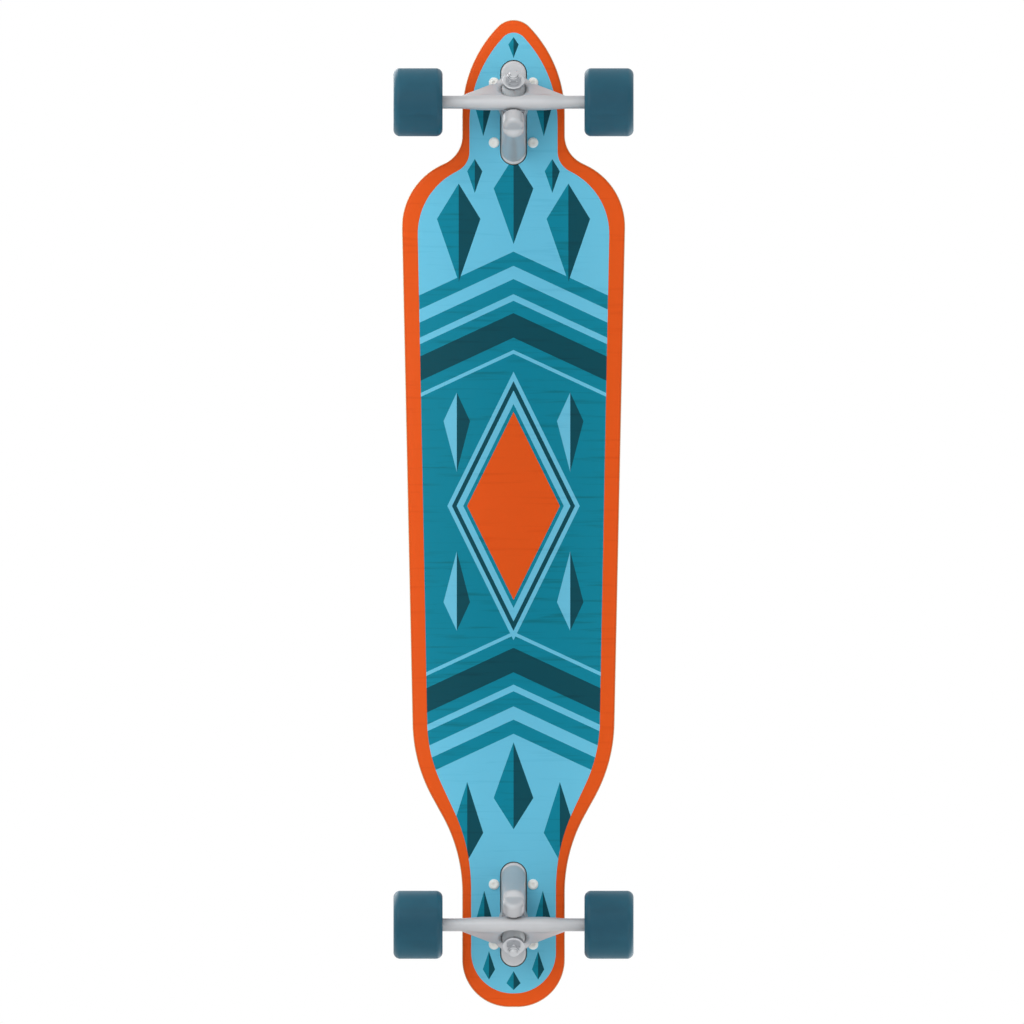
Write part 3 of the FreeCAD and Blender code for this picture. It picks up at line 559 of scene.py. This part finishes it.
def pressedBoard(name, sizes, outline, holes, panel, shapes, finish):
    # One closed board: printed underside, rounded rims, pierced, and pressed to the deck's hollow
    bottom, top = sizes["bottom"], sizes["bottom"] + sizes["thickness"]
    flat = outline - outwardOf(outline) * sizes["edgeRound"]
    lines = [loop for _, loop in shapes] + ([panel] if panel is not None else [])
    spots, faces, middles, _ = fillFace([flat, *holes], lines, sizes["step"])
    inked = np.full(len(faces), finish["underside"])
    if panel is not None:
        within = insideLoop(middles, panel)
        inked[within] = finish["panel"]
        for ink, loop in shapes:
            inked[within & insideLoop(middles, loop)] = ink
    bm = bmesh.new()
    wall = bm.loops.layers.uv.new("wall")
    verts = {i: bm.verts.new((*spots[i], bottom)) for i in sorted(set(faces.ravel().tolist()))}
    for face, ink in zip(faces.tolist(), inked.tolist()):
        bm.faces.new([verts[i] for i in reversed(face)]).material_index = ink
    rings = rimRings(sizes, finish)
    upperVerts, upperLoops = [], []
    for run in openRuns(faces.tolist()):
        upperVerts += wallInto(bm, wall, spots[run], [verts[i] for i in run], rings, bottom, top)
        upperLoops.append(spots[run])
        rings = [(0.0, top, finish["bore"])]   # after the outline, every run is a straight hole
    trim = [flat - outwardOf(flat) * sizes["trim"]] if "trim" in sizes else []
    spots, faces, _, origins = fillFace(upperLoops, trim, sizes["step"])
    upper = {}
    for face in faces.tolist():
        for i in face:
            if i not in upper:
                known = [o for o in origins[i] if o < len(upperVerts)]
                upper[i] = upperVerts[known[0]] if known else bm.verts.new((*spots[i], top))
        bm.faces.new([upper[i] for i in face]).material_index = finish["upper"]
    plan = np.array([vert.co[:2] for vert in bm.verts])
    for vert, lift in zip(bm.verts, hollowAt(plan)):
        vert.co.z += lift
    bmesh.ops.transform(bm, matrix=Matrix.Scale(mm, 4), verts=bm.verts)
    return meshFrom(bm, name)


printSizes = {
    # Chevron bands by their back and front places at the border, and how far their points lead
    "lead": 58.0, "reach": 125.0,
    "bands": (("teal", -262, 190), ("teal", -291, -276), ("teal", 204, 219),
              ("sky", -246, -239), ("sky", 167, 174), ("dark", -226, -200), ("dark", 128, 154),
              ("sky", -187, -183), ("sky", 111, 115)),
    # The middle gem by its place, half length and half width, and the shrinking steps inside it
    "gem": (8.0, 142.0, 70.0),
    "gemSteps": ((1.0, "sky"), (0.93, "dark"), (0.86, "sky"), (0.76, "teal"), (0.70, "orange")),
    # Folded kites, half dark and half lighter, by place, length and width, on both sides of the board
    "kites": {
        "teal": ((331, 0, 92, 42), (297, 58, 104, 46), (357, 41, 36, 16), (424, 32, 50, 18), (493, 0, 22, 11),
                 (-288, 0, 92, 42), (-326, 49, 84, 34), (-424, 31, 50, 18), (-494, 0, 20, 15),
                 (-478, 26, 30, 13)),
        "sky": ((86, 60, 84, 28), (-82, 60, 84, 28)),
    },
    "kiteShoulder": 0.14,   # how far the widest place lies ahead of the middle, as a share of the length
}
inkPlaces = {"orange": 0, "sky": 1, "teal": 2, "dark": 3, "plies": 4, "maple": 5}


def printShapes(step):
    # The printed shapes from the first layer to the last, as closed runs of points
    lead, reach = printSizes["lead"], printSizes["reach"]
    layers = []
    for ink, back, front in printSizes["bands"]:
        layers.append((ink, [(front, reach), (back, reach), (back + lead, 0),
                             (back, -reach), (front, -reach), (front + lead, 0)]))
    x, half, width = printSizes["gem"]
    for share, ink in printSizes["gemSteps"]:
        layers.append((ink, [(x + half * share, 0), (x, width * share),
                             (x - half * share, 0), (x, -width * share)]))
    for lightInk, places in printSizes["kites"].items():
        for x, off, length, width in places:
            ahead = math.copysign(length, x)
            shoulder = x + ahead * printSizes["kiteShoulder"]
            for y, side in itertools.product(sorted({-off, off}), (1, -1)):
                ink = "dark" if side > 0 else lightInk
                layers.append((ink, [(x + ahead / 2, y), (shoulder, y + side * width / 2),
                                     (x - ahead / 2, y)]))
    return [(inkPlaces[ink], roundedLoop([(*spot, 0) for spot in spots], step)) for ink, spots in layers]


def boltSpots(end):
    # Where a truck's four bolts stand, in plan
    along, across = deckSizes["boltGrid"]
    x = end * deckSizes["truckX"]
    return [(x + u * along / 2, v * across / 2) for u in (-1, 1) for v in (-1, 1)]


def truckCuts():
    size = deckSizes
    length, width = size["slot"]
    hole = size["boltHole"]
    cuts = []
    for end in ends.values():
        x = end * size["truckX"]
        cuts.append(boxLoop(x, 0.0, length, width, width / 2 - size["slotSlack"], size["slotStep"]))
        for spot in boltSpots(end):
            cuts.append(boxLoop(*spot, hole, hole, hole / 2 - size["holeSlack"], size["holeStep"]))
    return cuts


deckFinish = {"underside": inkPlaces["orange"], "panel": inkPlaces["sky"], "lowerRim": inkPlaces["orange"],
              "wall": inkPlaces["plies"], "upper": inkPlaces["maple"], "bore": inkPlaces["maple"]}
deckOutline = boardLoop(deckSizes, deckSizes["step"])
deckPanel = boardLoop(panelSizes, deckSizes["step"])
deckPrint = printShapes(deckSizes["step"])
deckMesh = pressedBoard("deckBoard", deckSizes, deckOutline, truckCuts(), deckPanel, deckPrint, deckFinish)
tie(newPiece("deck_board", deckMesh, *inks, plies, maple), "deck", "maple", "deck")

gripFinish = dict.fromkeys(deckFinish, 0)
gripOutline = deckOutline - outwardOf(deckOutline) * gripSizes["inset"]
windows = [boxLoop(end * deckSizes["truckX"], 0.0, *gripSizes["window"], gripSizes["windowStep"])
           for end in ends.values()]
gripMesh = pressedBoard("gripSheet", gripSizes, gripOutline, windows, None, [], gripFinish)
plan = np.array([vert.co[:2] for vert in gripMesh.vertices]) / mm
toRim = np.min([np.linalg.norm(plan - spot, axis=1) for spot in gripOutline], axis=0)
rubbed = gripSizes["wear"] - gripSizes["wear"] * toRim / gripSizes["trim"]
wear = gripMesh.attributes.new("rimWear", "FLOAT", "POINT")
wear.data.foreach_set("value", np.clip(rubbed, 0, 1).astype(np.float32))
tie(newPiece("grip_sheet", gripMesh, grit), "deck", "grip", "grip_tape")
print("deck:", len(deckMesh.polygons), "faces, grip:", len(gripMesh.polygons), "faces")

castSizes = {"hanger": (0.75, 10), "baseplate": (0.85, 8)}   # voxel, then how often the creases are eased
castEase = 0.5   # share of the way that each pass moves a point


def castPiece(node, voxel, passes):
    # The node's shape with its creases eased, as the die and the tumbling leave a casting
    mesh = nodes[node].data.copy()
    bm = bmesh.new()
    bm.from_mesh(mesh)
    bmesh.ops.remove_doubles(bm, verts=bm.verts, dist=weldGap)
    bm.to_mesh(mesh)
    bm.free()
    mesh.materials.clear()
    piece = addObject(node + "_casting", mesh)
    skin = piece.modifiers.new("skin", "REMESH")
    skin.mode = "VOXEL"
    skin.voxel_size = voxel * mm
    skin.use_smooth_shade = True
    ease = piece.modifiers.new("ease", "SMOOTH")
    ease.factor = castEase
    ease.iterations = passes
    plainMesh(piece)
    piece.data.materials.append(castGrey)
    tie(piece, nodes[node]["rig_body"], "cast_aluminium", node)
    return len(piece.data.polygons)


for end in ends:
    for part, (voxel, passes) in castSizes.items():
        count = castPiece(f"{end}_{part}", voxel, passes)
        print("casting:", end, part, count, "faces")

rowsPerTurn = 8        # of a thread
hexEase = (0.8, 0.5)   # how far in and down a hexagon's corners are eased


def rowRadius(angle, radius, height, kind="round", size=0.0, depth=0.0):
    # A turned row's radius at an angle: round, cut to a hexagon, or wound with a thread
    if kind == "hex":
        return min(radius, size / 2 / math.cos(angle % (math.pi / 3) - math.pi / 6))
    if kind == "thread":
        return radius - depth * abs(2 * ((height / size - angle / (2 * math.pi)) % 1) - 1)
    return radius


def latheInto(bm, rows, place, segments, closed=False, ink=0):
    # Rings of points round Z, one for each row of radius, height and cut, skinned one to the next
    angles = [2 * math.pi * step / segments for step in range(segments)]
    rings = []
    for row in rows:
        if row[0] == 0:
            rings.append([bm.verts.new(place @ Vector((0, 0, row[1])) * mm)] * segments)
            continue
        spots = [(rowRadius(a, *row), a) for a in angles]
        rings.append([bm.verts.new(place @ Vector((r * math.cos(a), r * math.sin(a), row[1])) * mm)
                      for r, a in spots])
    pairs = list(zip(rings, rings[1:])) + ([(rings[-1], rings[0])] if closed else [])
    for lower, upper in pairs:
        for i in range(segments):
            j = (i + 1) % segments
            corners = list(dict.fromkeys((lower[i], lower[j], upper[j], upper[i])))
            if len(corners) > 2:
                bm.faces.new(corners).material_index = ink


def threadRows(radius, start, stop, sizes):
    pitch, depth = sizes["pitch"], sizes["threadDepth"]
    count = math.ceil((stop - start) / (pitch / rowsPerTurn))
    heights = [start + (stop - start) * step / count for step in range(count + 1)]
    return [(radius, height, "thread", pitch, depth) for height in heights]


def hexRows(across, bottom, top):
    corner = across / math.sqrt(3)
    inward, down = hexEase
    spots = ((corner - inward, bottom), (corner, bottom + down), (corner, top - down), (corner - inward, top))
    return [(*spot, "hex", across) for spot in spots]


def turnedMesh(node, rows, place, segments, crease=softCrease, closed=False):
    bm = bmesh.new()
    latheInto(bm, rows, place, segments, closed)
    bmesh.ops.recalc_face_normals(bm, faces=bm.faces)
    return meshFrom(bm, node + "_mesh", crease)


wheelSizes = {
    "outside": 36.0, "face": 27.0, "throat": 23.5, "hub": 20.0, "top": 25.0, "bottom": -27.0,
    "throatZ": 15.0, "hubZ": 12.0, "lipRound": 7.0, "faceRound": 2.5, "step": 1.2, "segments": 128,
    "treadFrom": 35.4, "treadFade": 0.5,   # radius where the ground tread starts, and how fast it sets in
}


def wheelPlace(end, side):
    # Wheel frame in millimetres: Z along the axle, away from the board
    spin = joints[f"{end}_{side}_spin"]
    turn = Matrix.Rotation(-sides[side] * math.pi / 2, 4, "X")
    return Matrix.Translation(Vector(spin["pos_m"]) / mm) @ turn


def makeTyre(end, side):
    size = wheelSizes
    lip, face = size["lipRound"], size["faceRound"]
    lower = [(size["hub"], -size["hubZ"], 0), (size["throat"], -size["throatZ"], face),
             (size["face"], size["bottom"], face), (size["outside"], size["bottom"], lip)]
    upper = [(size["outside"], size["top"], lip), (size["face"], size["top"], face),
             (size["throat"], size["throatZ"], face), (size["hub"], size["hubZ"], 0)]
    rows = roundedLoop(lower + upper, size["step"])
    node = f"{end}_{side}_tyre"
    mesh = turnedMesh(node, rows, wheelPlace(end, side), size["segments"], closed=True)
    tread = mesh.attributes.new("tread", "FLOAT", "POINT")
    rings = np.clip((rows[:, 0] - size["treadFrom"]) / size["treadFade"], 0, 1)
    tread.data.foreach_set("value", np.repeat(rings, size["segments"]).astype(np.float32))
    tie(newPiece(node + "_poured", mesh, urethane), f"{end}_{side}_wheel", "wheel_urethane", node)


for end in ends:
    for side in sides:
        makeTyre(end, side)
print("wheels: 4 tyres")

steerSizes = {
    "web": 3.0, "height": 15.0, "radius": 13.0, "tip": 10.0, "bore": 5.05, "boreEdge": 0.4, "edge": 1.5,
    "waist": 0.5, "waistRound": 18.0, "step": 0.7, "segments": 72,
    "pinRadius": 4.75, "pinHead": 14.3, "pinHeadHeight": 6.0, "headTop": -45.8, "pinEnd": 30.8,
    "endBevel": (0.8, 0.7), "pitch": 1.06, "threadDepth": 0.55, "threadLead": 2.0,
    "nutSeat": 19.8, "nut": (14.3, 8.5, 2.8),   # a nut's width across flats, its height and its collar's
}


def steerPlace(end):
    # Bushing frame in millimetres: X along the steering axis, Z down the kingpin
    joint = joints[end + "_steer"]
    along = Vector(joint["axis"])
    down = Vector((along.z * ends[end], 0, -along.x * ends[end]))
    across = down.cross(along)
    turn = Matrix((along, across, down)).transposed().to_4x4()
    return Matrix.Translation(Vector(joint["pos_m"]) / mm) @ turn


def makeBushing(end, which, toward, tip):
    # Urethane bushing between the ring, which leans, and the washer, which stays
    size = steerSizes
    place = steerPlace(end)
    near, far = toward * size["web"], toward * (size["web"] + size["height"])
    waist = (size["radius"] + tip) / 2 - size["waist"]
    corners = [(size["bore"], near, size["boreEdge"]), (size["radius"], near, size["edge"]),
               (waist, (near + far) / 2, size["waistRound"]),
               (tip, far, size["edge"]), (size["bore"], far, size["boreEdge"])]
    node = f"{end}_{which}_bushing"
    mesh = turnedMesh(node, roundedLoop(corners, size["step"]), place, size["segments"], closed=True)
    piece = newPiece(node + "_poured", mesh, bushingUrethane)
    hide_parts(node)
    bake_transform(piece)


def makeKingpin(end):
    size = steerSizes
    radius, threadFrom = size["pinRadius"], size["nutSeat"] - size["threadLead"]
    headBottom = size["headTop"] - size["pinHeadHeight"]
    inward, down = size["endBevel"]
    rows = [(0, headBottom), *hexRows(size["pinHead"], headBottom, size["headTop"])]
    rows += [(radius, size["headTop"]), (radius, threadFrom)]
    rows += threadRows(radius, threadFrom, size["pinEnd"] - down, size)
    rows += [(radius - inward, size["pinEnd"]), (0, size["pinEnd"])]
    node = end + "_kingpin"
    mesh = turnedMesh(node, rows, steerPlace(end), size["segments"], threadCrease)
    tie(newPiece(node + "_bolt", mesh, zinc), "deck", "zinc_steel", node)


axleSizes = {"radius": 3.97, "half": 124.0, "thread": 12.0, "pitch": 1.06, "threadDepth": 0.5,
             "chamfer": 0.8, "tipIn": 0.3, "runOut": 0.4, "segments": 60}


def makeAxle(end):
    size = axleSizes
    hubs = [Vector(joints[f"{end}_{side}_spin"]["pos_m"]) for side in sides]
    middle = sum(hubs, Vector()) / 2 / mm
    place = Matrix.Translation(middle) @ Matrix.Rotation(-math.pi / 2, 4, "X")
    radius, half = size["radius"], size["half"]
    stop, inner = half - size["chamfer"], half - size["thread"]
    tip = radius - size["threadDepth"] - size["tipIn"]
    rows = [(0, -half), (tip, -half)]
    rows += threadRows(radius, -stop, -inner, size)
    rows += [(radius, size["runOut"] - inner), (radius, inner - size["runOut"])]
    rows += threadRows(radius, inner, stop, size)
    rows += [(tip, half), (0, half)]
    node = end + "_axle"
    mesh = turnedMesh(node, rows, place, size["segments"])
    tie(newPiece(node + "_rod", mesh, axleSteel), end + "_hanger", "axle_steel", node)


for end in ends:
    makeBushing(end, "board", -1, steerSizes["radius"])
    makeBushing(end, "road", 1, steerSizes["tip"])
    makeKingpin(end)
    makeAxle(end)
print("steering: bushings, kingpins and axles")


def repeatTree():
    # Copies of a pattern on points, each aimed by its point and rolled by chance about its own axis
    tree = bpy.data.node_groups.new("repeatOnPoints", "GeometryNodeTree")
    sockets = {"Points": "Geometry", "Pattern": "Object", "Finish": "Material", "Second Finish": "Material",
               "Roll": "Float", "Seed": "Int"}
    for name, kind in sockets.items():
        tree.interface.new_socket(name, in_out="INPUT", socket_type="NodeSocket" + kind)
    tree.interface.new_socket("Pieces", in_out="OUTPUT", socket_type="NodeSocketGeometry")
    given = addNode(tree, "NodeGroupInput").outputs
    aim = addNode(tree, "GeometryNodeInputNamedAttribute", {"Name": "aim"}, data_type="FLOAT_VECTOR")
    turn = addNode(tree, "FunctionNodeEulerToRotation", {0: aim})
    pattern = addNode(tree, "GeometryNodeObjectInfo", {"Object": given["Pattern"]})
    copies = addNode(tree, "GeometryNodeInstanceOnPoints", {
        "Points": given["Points"], "Instance": pattern.outputs["Geometry"], "Rotation": turn})
    chance = addNode(tree, "FunctionNodeRandomValue", {
        3: given["Roll"], "Seed": given["Seed"]}, data_type="FLOAT")
    about = addNode(tree, "ShaderNodeCombineXYZ", {2: chance.outputs[1]})
    roll = addNode(tree, "FunctionNodeEulerToRotation", {0: about})
    rolled = addNode(tree, "GeometryNodeRotateInstances", {
        "Instances": copies, "Rotation": roll, "Local Space": True})
    real = addNode(tree, "GeometryNodeRealizeInstances", {0: rolled})
    first = addNode(tree, "GeometryNodeSetMaterial", {"Geometry": real, "Material": given["Finish"]})
    second = addNode(tree, "GeometryNodeInputNamedAttribute", {"Name": "second"}, data_type="BOOLEAN")
    both = addNode(tree, "GeometryNodeSetMaterial", {
        "Geometry": first, "Selection": second, "Material": given["Second Finish"]})
    addNode(tree, "NodeGroupOutput", {"Pieces": both})
    return tree


repeatOnPoints = repeatTree()
seedStart = 3


def patternObject(name, bm):
    # A pattern in its own frame, with its second finish marked on faces
    bmesh.ops.remove_doubles(bm, verts=bm.verts, dist=weldGap)
    bmesh.ops.recalc_face_normals(bm, faces=bm.faces)
    mesh = meshFrom(bm, name, threadCrease)
    marks = np.zeros(len(mesh.polygons), np.int32)
    mesh.polygons.foreach_get("material_index", marks)
    mesh.polygons.foreach_set("material_index", np.zeros_like(marks))
    mesh.attributes.new("second", "BOOLEAN", "FACE").data.foreach_set("value", marks > 0)
    return addObject(name, mesh)


def repeatPiece(name, pattern, places, finishes, roll, body, slot, *standsFor):
    mesh = bpy.data.meshes.new(name)
    mesh.from_pydata([place.to_translation() * mm for place in places], [], [])
    aims = [angle for place in places for angle in place.to_euler()]
    mesh.attributes.new("aim", "FLOAT_VECTOR", "POINT").data.foreach_set("vector", aims)
    piece = addObject(name, mesh)
    modifier = piece.modifiers.new("repeat", "NODES")
    modifier.node_group = repeatOnPoints
    values = {"Pattern": pattern, "Finish": finishes[0], "Second Finish": finishes[1],
              "Roll": roll, "Seed": len(places) + seedStart}
    for item in repeatOnPoints.interface.items_tree:
        if item.in_out == "INPUT" and item.name in values:
            modifier[item.identifier] = values[item.name]
    plainMesh(piece)
    tie(piece, body, slot, *standsFor)


upright = Matrix.Identity(4)
boltSizes = {
    "headRadius": 5.6, "headHeight": 2.7, "crown": 2.43, "crownSteps": 8, "shank": 2.4, "end": 25.5,
    "endBevel": (0.6, 0.5), "socket": 3.2, "socketDepth": 1.5, "socketBreak": (0.25, 0.12),
    "pitch": 0.8, "threadDepth": 0.42, "threadFrom": 17.0, "segments": 72,
    "flange": 6.5, "nut": (9.5, 6.0, 2.0),
}
axleNutSizes = {"nut": (12.7, 7.0, 2.2), "bore": 4.0, "seat": 13.0}
lockNutSizes = {
    "crownIn": 0.7, "clearance": 0.05, "segments": 72,
    # steps of the collar's rolled lip, in from its side and down from its top
    "lip": ((0.0, 0.8), (0.3, 0.25), (0.9, 0.0), (1.5, 0.1), (1.5, 0.35)),
    "ringEdge": (0.35, 0.7),   # the locking ring's bevel, out from the bore and down from the top
}


def nutPattern(name, across, height, collar, bore):
    # Lock nut on z = 0: hexagon, round collar, and the locking ring inside it
    size = lockNutSizes
    hexTop = height - collar
    crown = across / 2 - size["crownIn"]
    lip = [(crown - inward, height - down) for inward, down in size["lip"]]
    outward, down = size["ringEdge"]
    inside = (bore, height - down)
    bm = bmesh.new()
    rows = [(bore, 0), *hexRows(across, 0, hexTop), (crown, hexTop), *lip]
    latheInto(bm, rows, upright, size["segments"])
    latheInto(bm, [lip[-1], (bore + outward, lip[-1][1]), inside], upright, size["segments"], ink=1)
    latheInto(bm, [inside, (bore, 0)], upright, size["segments"])
    return patternObject(name, bm)


def boltPattern(name):
    # Truss-head screw, head down: crowned head with a hexagonal socket, threaded where it leaves the nut
    size = boltSizes
    low, radius, shank = -size["headHeight"], size["headRadius"], size["shank"]
    socket, wide = ("hex", size["socket"]), size["socket"] / math.sqrt(3)
    outward, up = size["socketBreak"]
    inward, down = size["endBevel"]
    floor = low + size["socketDepth"]
    rows = [(0, floor), (wide, floor, *socket), (wide, low + up, *socket), (wide + outward, low)]
    for step in range(size["crownSteps"] + 1):
        a = math.radians(90 - 90 * step / size["crownSteps"])
        rows.append((radius - size["crown"] * (1 - math.cos(a)), low + size["crown"] * (1 - math.sin(a))))
    rows.append((radius, 0))
    bm = bmesh.new()
    latheInto(bm, rows, upright, size["segments"], ink=1)
    rows = [(radius, 0), (shank, 0), (shank, size["threadFrom"])]
    rows += threadRows(shank, size["threadFrom"], size["end"] - down, size)
    rows += [(shank - inward, size["end"]), (0, size["end"])]
    latheInto(bm, rows, upright, size["segments"])
    return patternObject(name, bm)


def boltPlaces(height):
    return [Matrix.Translation((*spot, height)) for end in ends.values() for spot in boltSpots(end)]


lockFinish = (zinc, nylonRing)
nutGap = lockNutSizes["clearance"]
bolt = boltPattern("boltPattern")
boltNut = nutPattern("nutPattern", *boltSizes["nut"], boltSizes["shank"] + nutGap)
kingpinNut = nutPattern("kingpinNutPattern", *steerSizes["nut"], steerSizes["pinRadius"] + nutGap)
axleNut = nutPattern("axleNutPattern", *axleNutSizes["nut"], axleNutSizes["bore"])
repeatPiece("mount_bolts_set", bolt, boltPlaces(deckSizes["bottom"]), (zinc, boltEnamel), math.pi,
            "deck", "white_paint", "mount_bolts")
repeatPiece("mount_nuts_set", boltNut, boltPlaces(deckTop + boltSizes["flange"]), lockFinish, math.pi,
            "deck", "zinc_steel", "mount_nuts")
seats = [steerPlace(end) @ Matrix.Translation((0, 0, steerSizes["nutSeat"])) for end in ends]
repeatPiece("kingpin_nuts_set", kingpinNut, seats, lockFinish, 1.0,
            "deck", "zinc_steel", "front_kingpin_nut", "rear_kingpin_nut")
for end in ends:
    seats = [wheelPlace(end, side) @ Matrix.Translation((0, 0, axleNutSizes["seat"])) for side in sides]
    repeatPiece(end + "_axle_nuts_set", axleNut, seats, lockFinish, math.pi,
                end + "_hanger", "zinc_steel", end + "_axle_nuts")
for pattern in (bolt, boltNut, kingpinNut, axleNut):
    bpy.data.objects.remove(pattern)
print("fasteners: bolts and nuts repeated")

# The other nodes keep their own shapes and get a finish
nodeFinishes = {
    "pivot_cup": cupUrethane, "board_washer": zinc, "road_washer": zinc, "speed_rings": zinc,
    "bearing_spacers": axleSteel, "inner_races": raceSteel, "outer_races": raceSteel,
    "ball_sets": raceSteel, "bearing_shields": shieldSteel, "core": coreNylon,
}
for name, node in nodes.items():
    for ending, finish in nodeFinishes.items():
        if name.endswith("_" + ending):
            node.data.materials.clear()
            node.data.materials.append(finish)
print("nodes: plain ones finished")

stageSizes = {
    # in metres; the floor's levels are how it glows in painted shade under the board and in the open
    "floor": 12.0, "drop": 0.0003, "floorHex": "#F2F2F0", "floorGlow": 0.7, "worldGlow": 0.45,
    "floorLevels": (0.6, 1.13), "shadeReach": 0.3, "shadeSamples": 16,
}


def eyeAndMirror(tree):
    # Which rays come from the camera, and which by way of a reflection or through a clear piece
    path = addNode(tree, "ShaderNodeLightPath").outputs
    mirror = addNode(tree, "ShaderNodeMath", {
        0: path["Is Glossy Ray"], 1: path["Is Transmission Ray"]}, operation="MAXIMUM")
    return path["Is Camera Ray"], mirror


def paperFloor(tree):
    # Matt paper, white to the eye, with real and painted shadow under the board, clear when seen from below
    size = stageSizes
    eye, mirror = eyeAndMirror(tree)
    facing = addNode(tree, "ShaderNodeNewGeometry").outputs["Backfacing"]
    paper = addNode(tree, "ShaderNodeBsdfDiffuse", {"Color": linear(size["floorHex"])})
    # painted shadow: ambient occlusion dims the floor's white glow under the board
    free = addNode(tree, "ShaderNodeAmbientOcclusion", {
        "Distance": size["shadeReach"]}, samples=size["shadeSamples"]).outputs["AO"]
    shaded, opened = size["floorLevels"]
    shadowedGlow = addNode(tree, "ShaderNodeMapRange", {"Value": free, "To Min": shaded, "To Max": opened})
    level = addNode(tree, "ShaderNodeMapRange", {"Value": eye, "To Min": 1.0, "To Max": shadowedGlow})
    white = addNode(tree, "ShaderNodeEmission", {"Strength": level})
    part = addNode(tree, "ShaderNodeMath", {0: eye, 1: size["floorGlow"]}, operation="MULTIPLY")
    share = addNode(tree, "ShaderNodeMath", {0: part, 1: mirror}, operation="MAXIMUM")
    seen = addNode(tree, "ShaderNodeMixShader", {0: share, 1: paper, 2: white})
    clear = addNode(tree, "ShaderNodeBsdfTransparent")
    return addNode(tree, "ShaderNodeMixShader", {0: facing, 1: seen, 2: clear})


def makeFloor():
    mesh = bpy.data.meshes.new("floor")
    half, low = stageSizes["floor"] / 2, -stageSizes["drop"]
    corners = [(x * half, y * half, low) for x, y in square]
    mesh.from_pydata(corners, [], [(0, 1, 2, 3)])
    floor = newPiece("floor", mesh, newMaterial("mattPaperFloor", paperFloor))
    floor.visible_shadow = False


def makeWorld():
    # White to the eye and in reflections, a lower even glow as light
    world = bpy.data.worlds.new("studio")
    bpy.context.scene.world = world
    world.use_nodes = True
    tree = world.node_tree
    tree.nodes.clear()
    eye, mirror = eyeAndMirror(tree)
    either = addNode(tree, "ShaderNodeMath", {0: eye, 1: mirror}, operation="MAXIMUM")
    level = addNode(tree, "ShaderNodeMapRange", {
        "Value": either, "To Min": stageSizes["worldGlow"], "To Max": 1.0})
    glow = addNode(tree, "ShaderNodeBackground", {"Strength": level, "Color": (1, 1, 1, 1)})
    addNode(tree, "ShaderNodeOutputWorld", {"Surface": glow})


lampSizes = {
    # place, where it aims, side length, all in metres, and power in watts
    "keyAbove": ((1.3, -1.4, 2.3), (0, 0, 0), 2.2, 34.0),
    "fillAbove": ((-1.5, 1.2, 2.0), (0, 0, 0), 2.2, 16.0),
    "keyBelow": ((1.1, -1.1, -1.9), (0, 0, 0.05), 1.8, 35.0),
    "fillBelow": ((-1.2, 1.1, -1.9), (0, 0, 0.05), 2.4, 32.0),
}


def makeLamps():
    for name, (place, aim, size, power) in lampSizes.items():
        lamp = bpy.data.lights.new(name, "AREA")
        lamp.size = size
        lamp.energy = power
        holder = addObject(name, lamp)
        holder.location = place
        holder.rotation_euler = (Vector(aim) - Vector(place)).to_track_quat("-Z", "Y").to_euler()


cameraSizes = {"span": 1.0831, "place": (0.0016, -0.0016, -0.9)}   # in metres


def makeCamera():
    # Straight up at the underside, nose at the top of the picture, no perspective
    data = bpy.data.cameras.new("camera")
    data.type = "ORTHO"
    data.ortho_scale = cameraSizes["span"]
    camera = addObject("camera", data)
    x, y, z = cameraSizes["place"]
    camera.matrix_world = Matrix(((0, 1, 0, x), (1, 0, 0, y), (0, 0, -1, z), (0, 0, 0, 1)))
    bpy.context.scene.camera = camera


makeFloor()
makeWorld()
makeLamps()
makeCamera()
bpy.context.scene.view_settings.view_transform = "Standard"
print("stage: floor, world, lamps and camera")
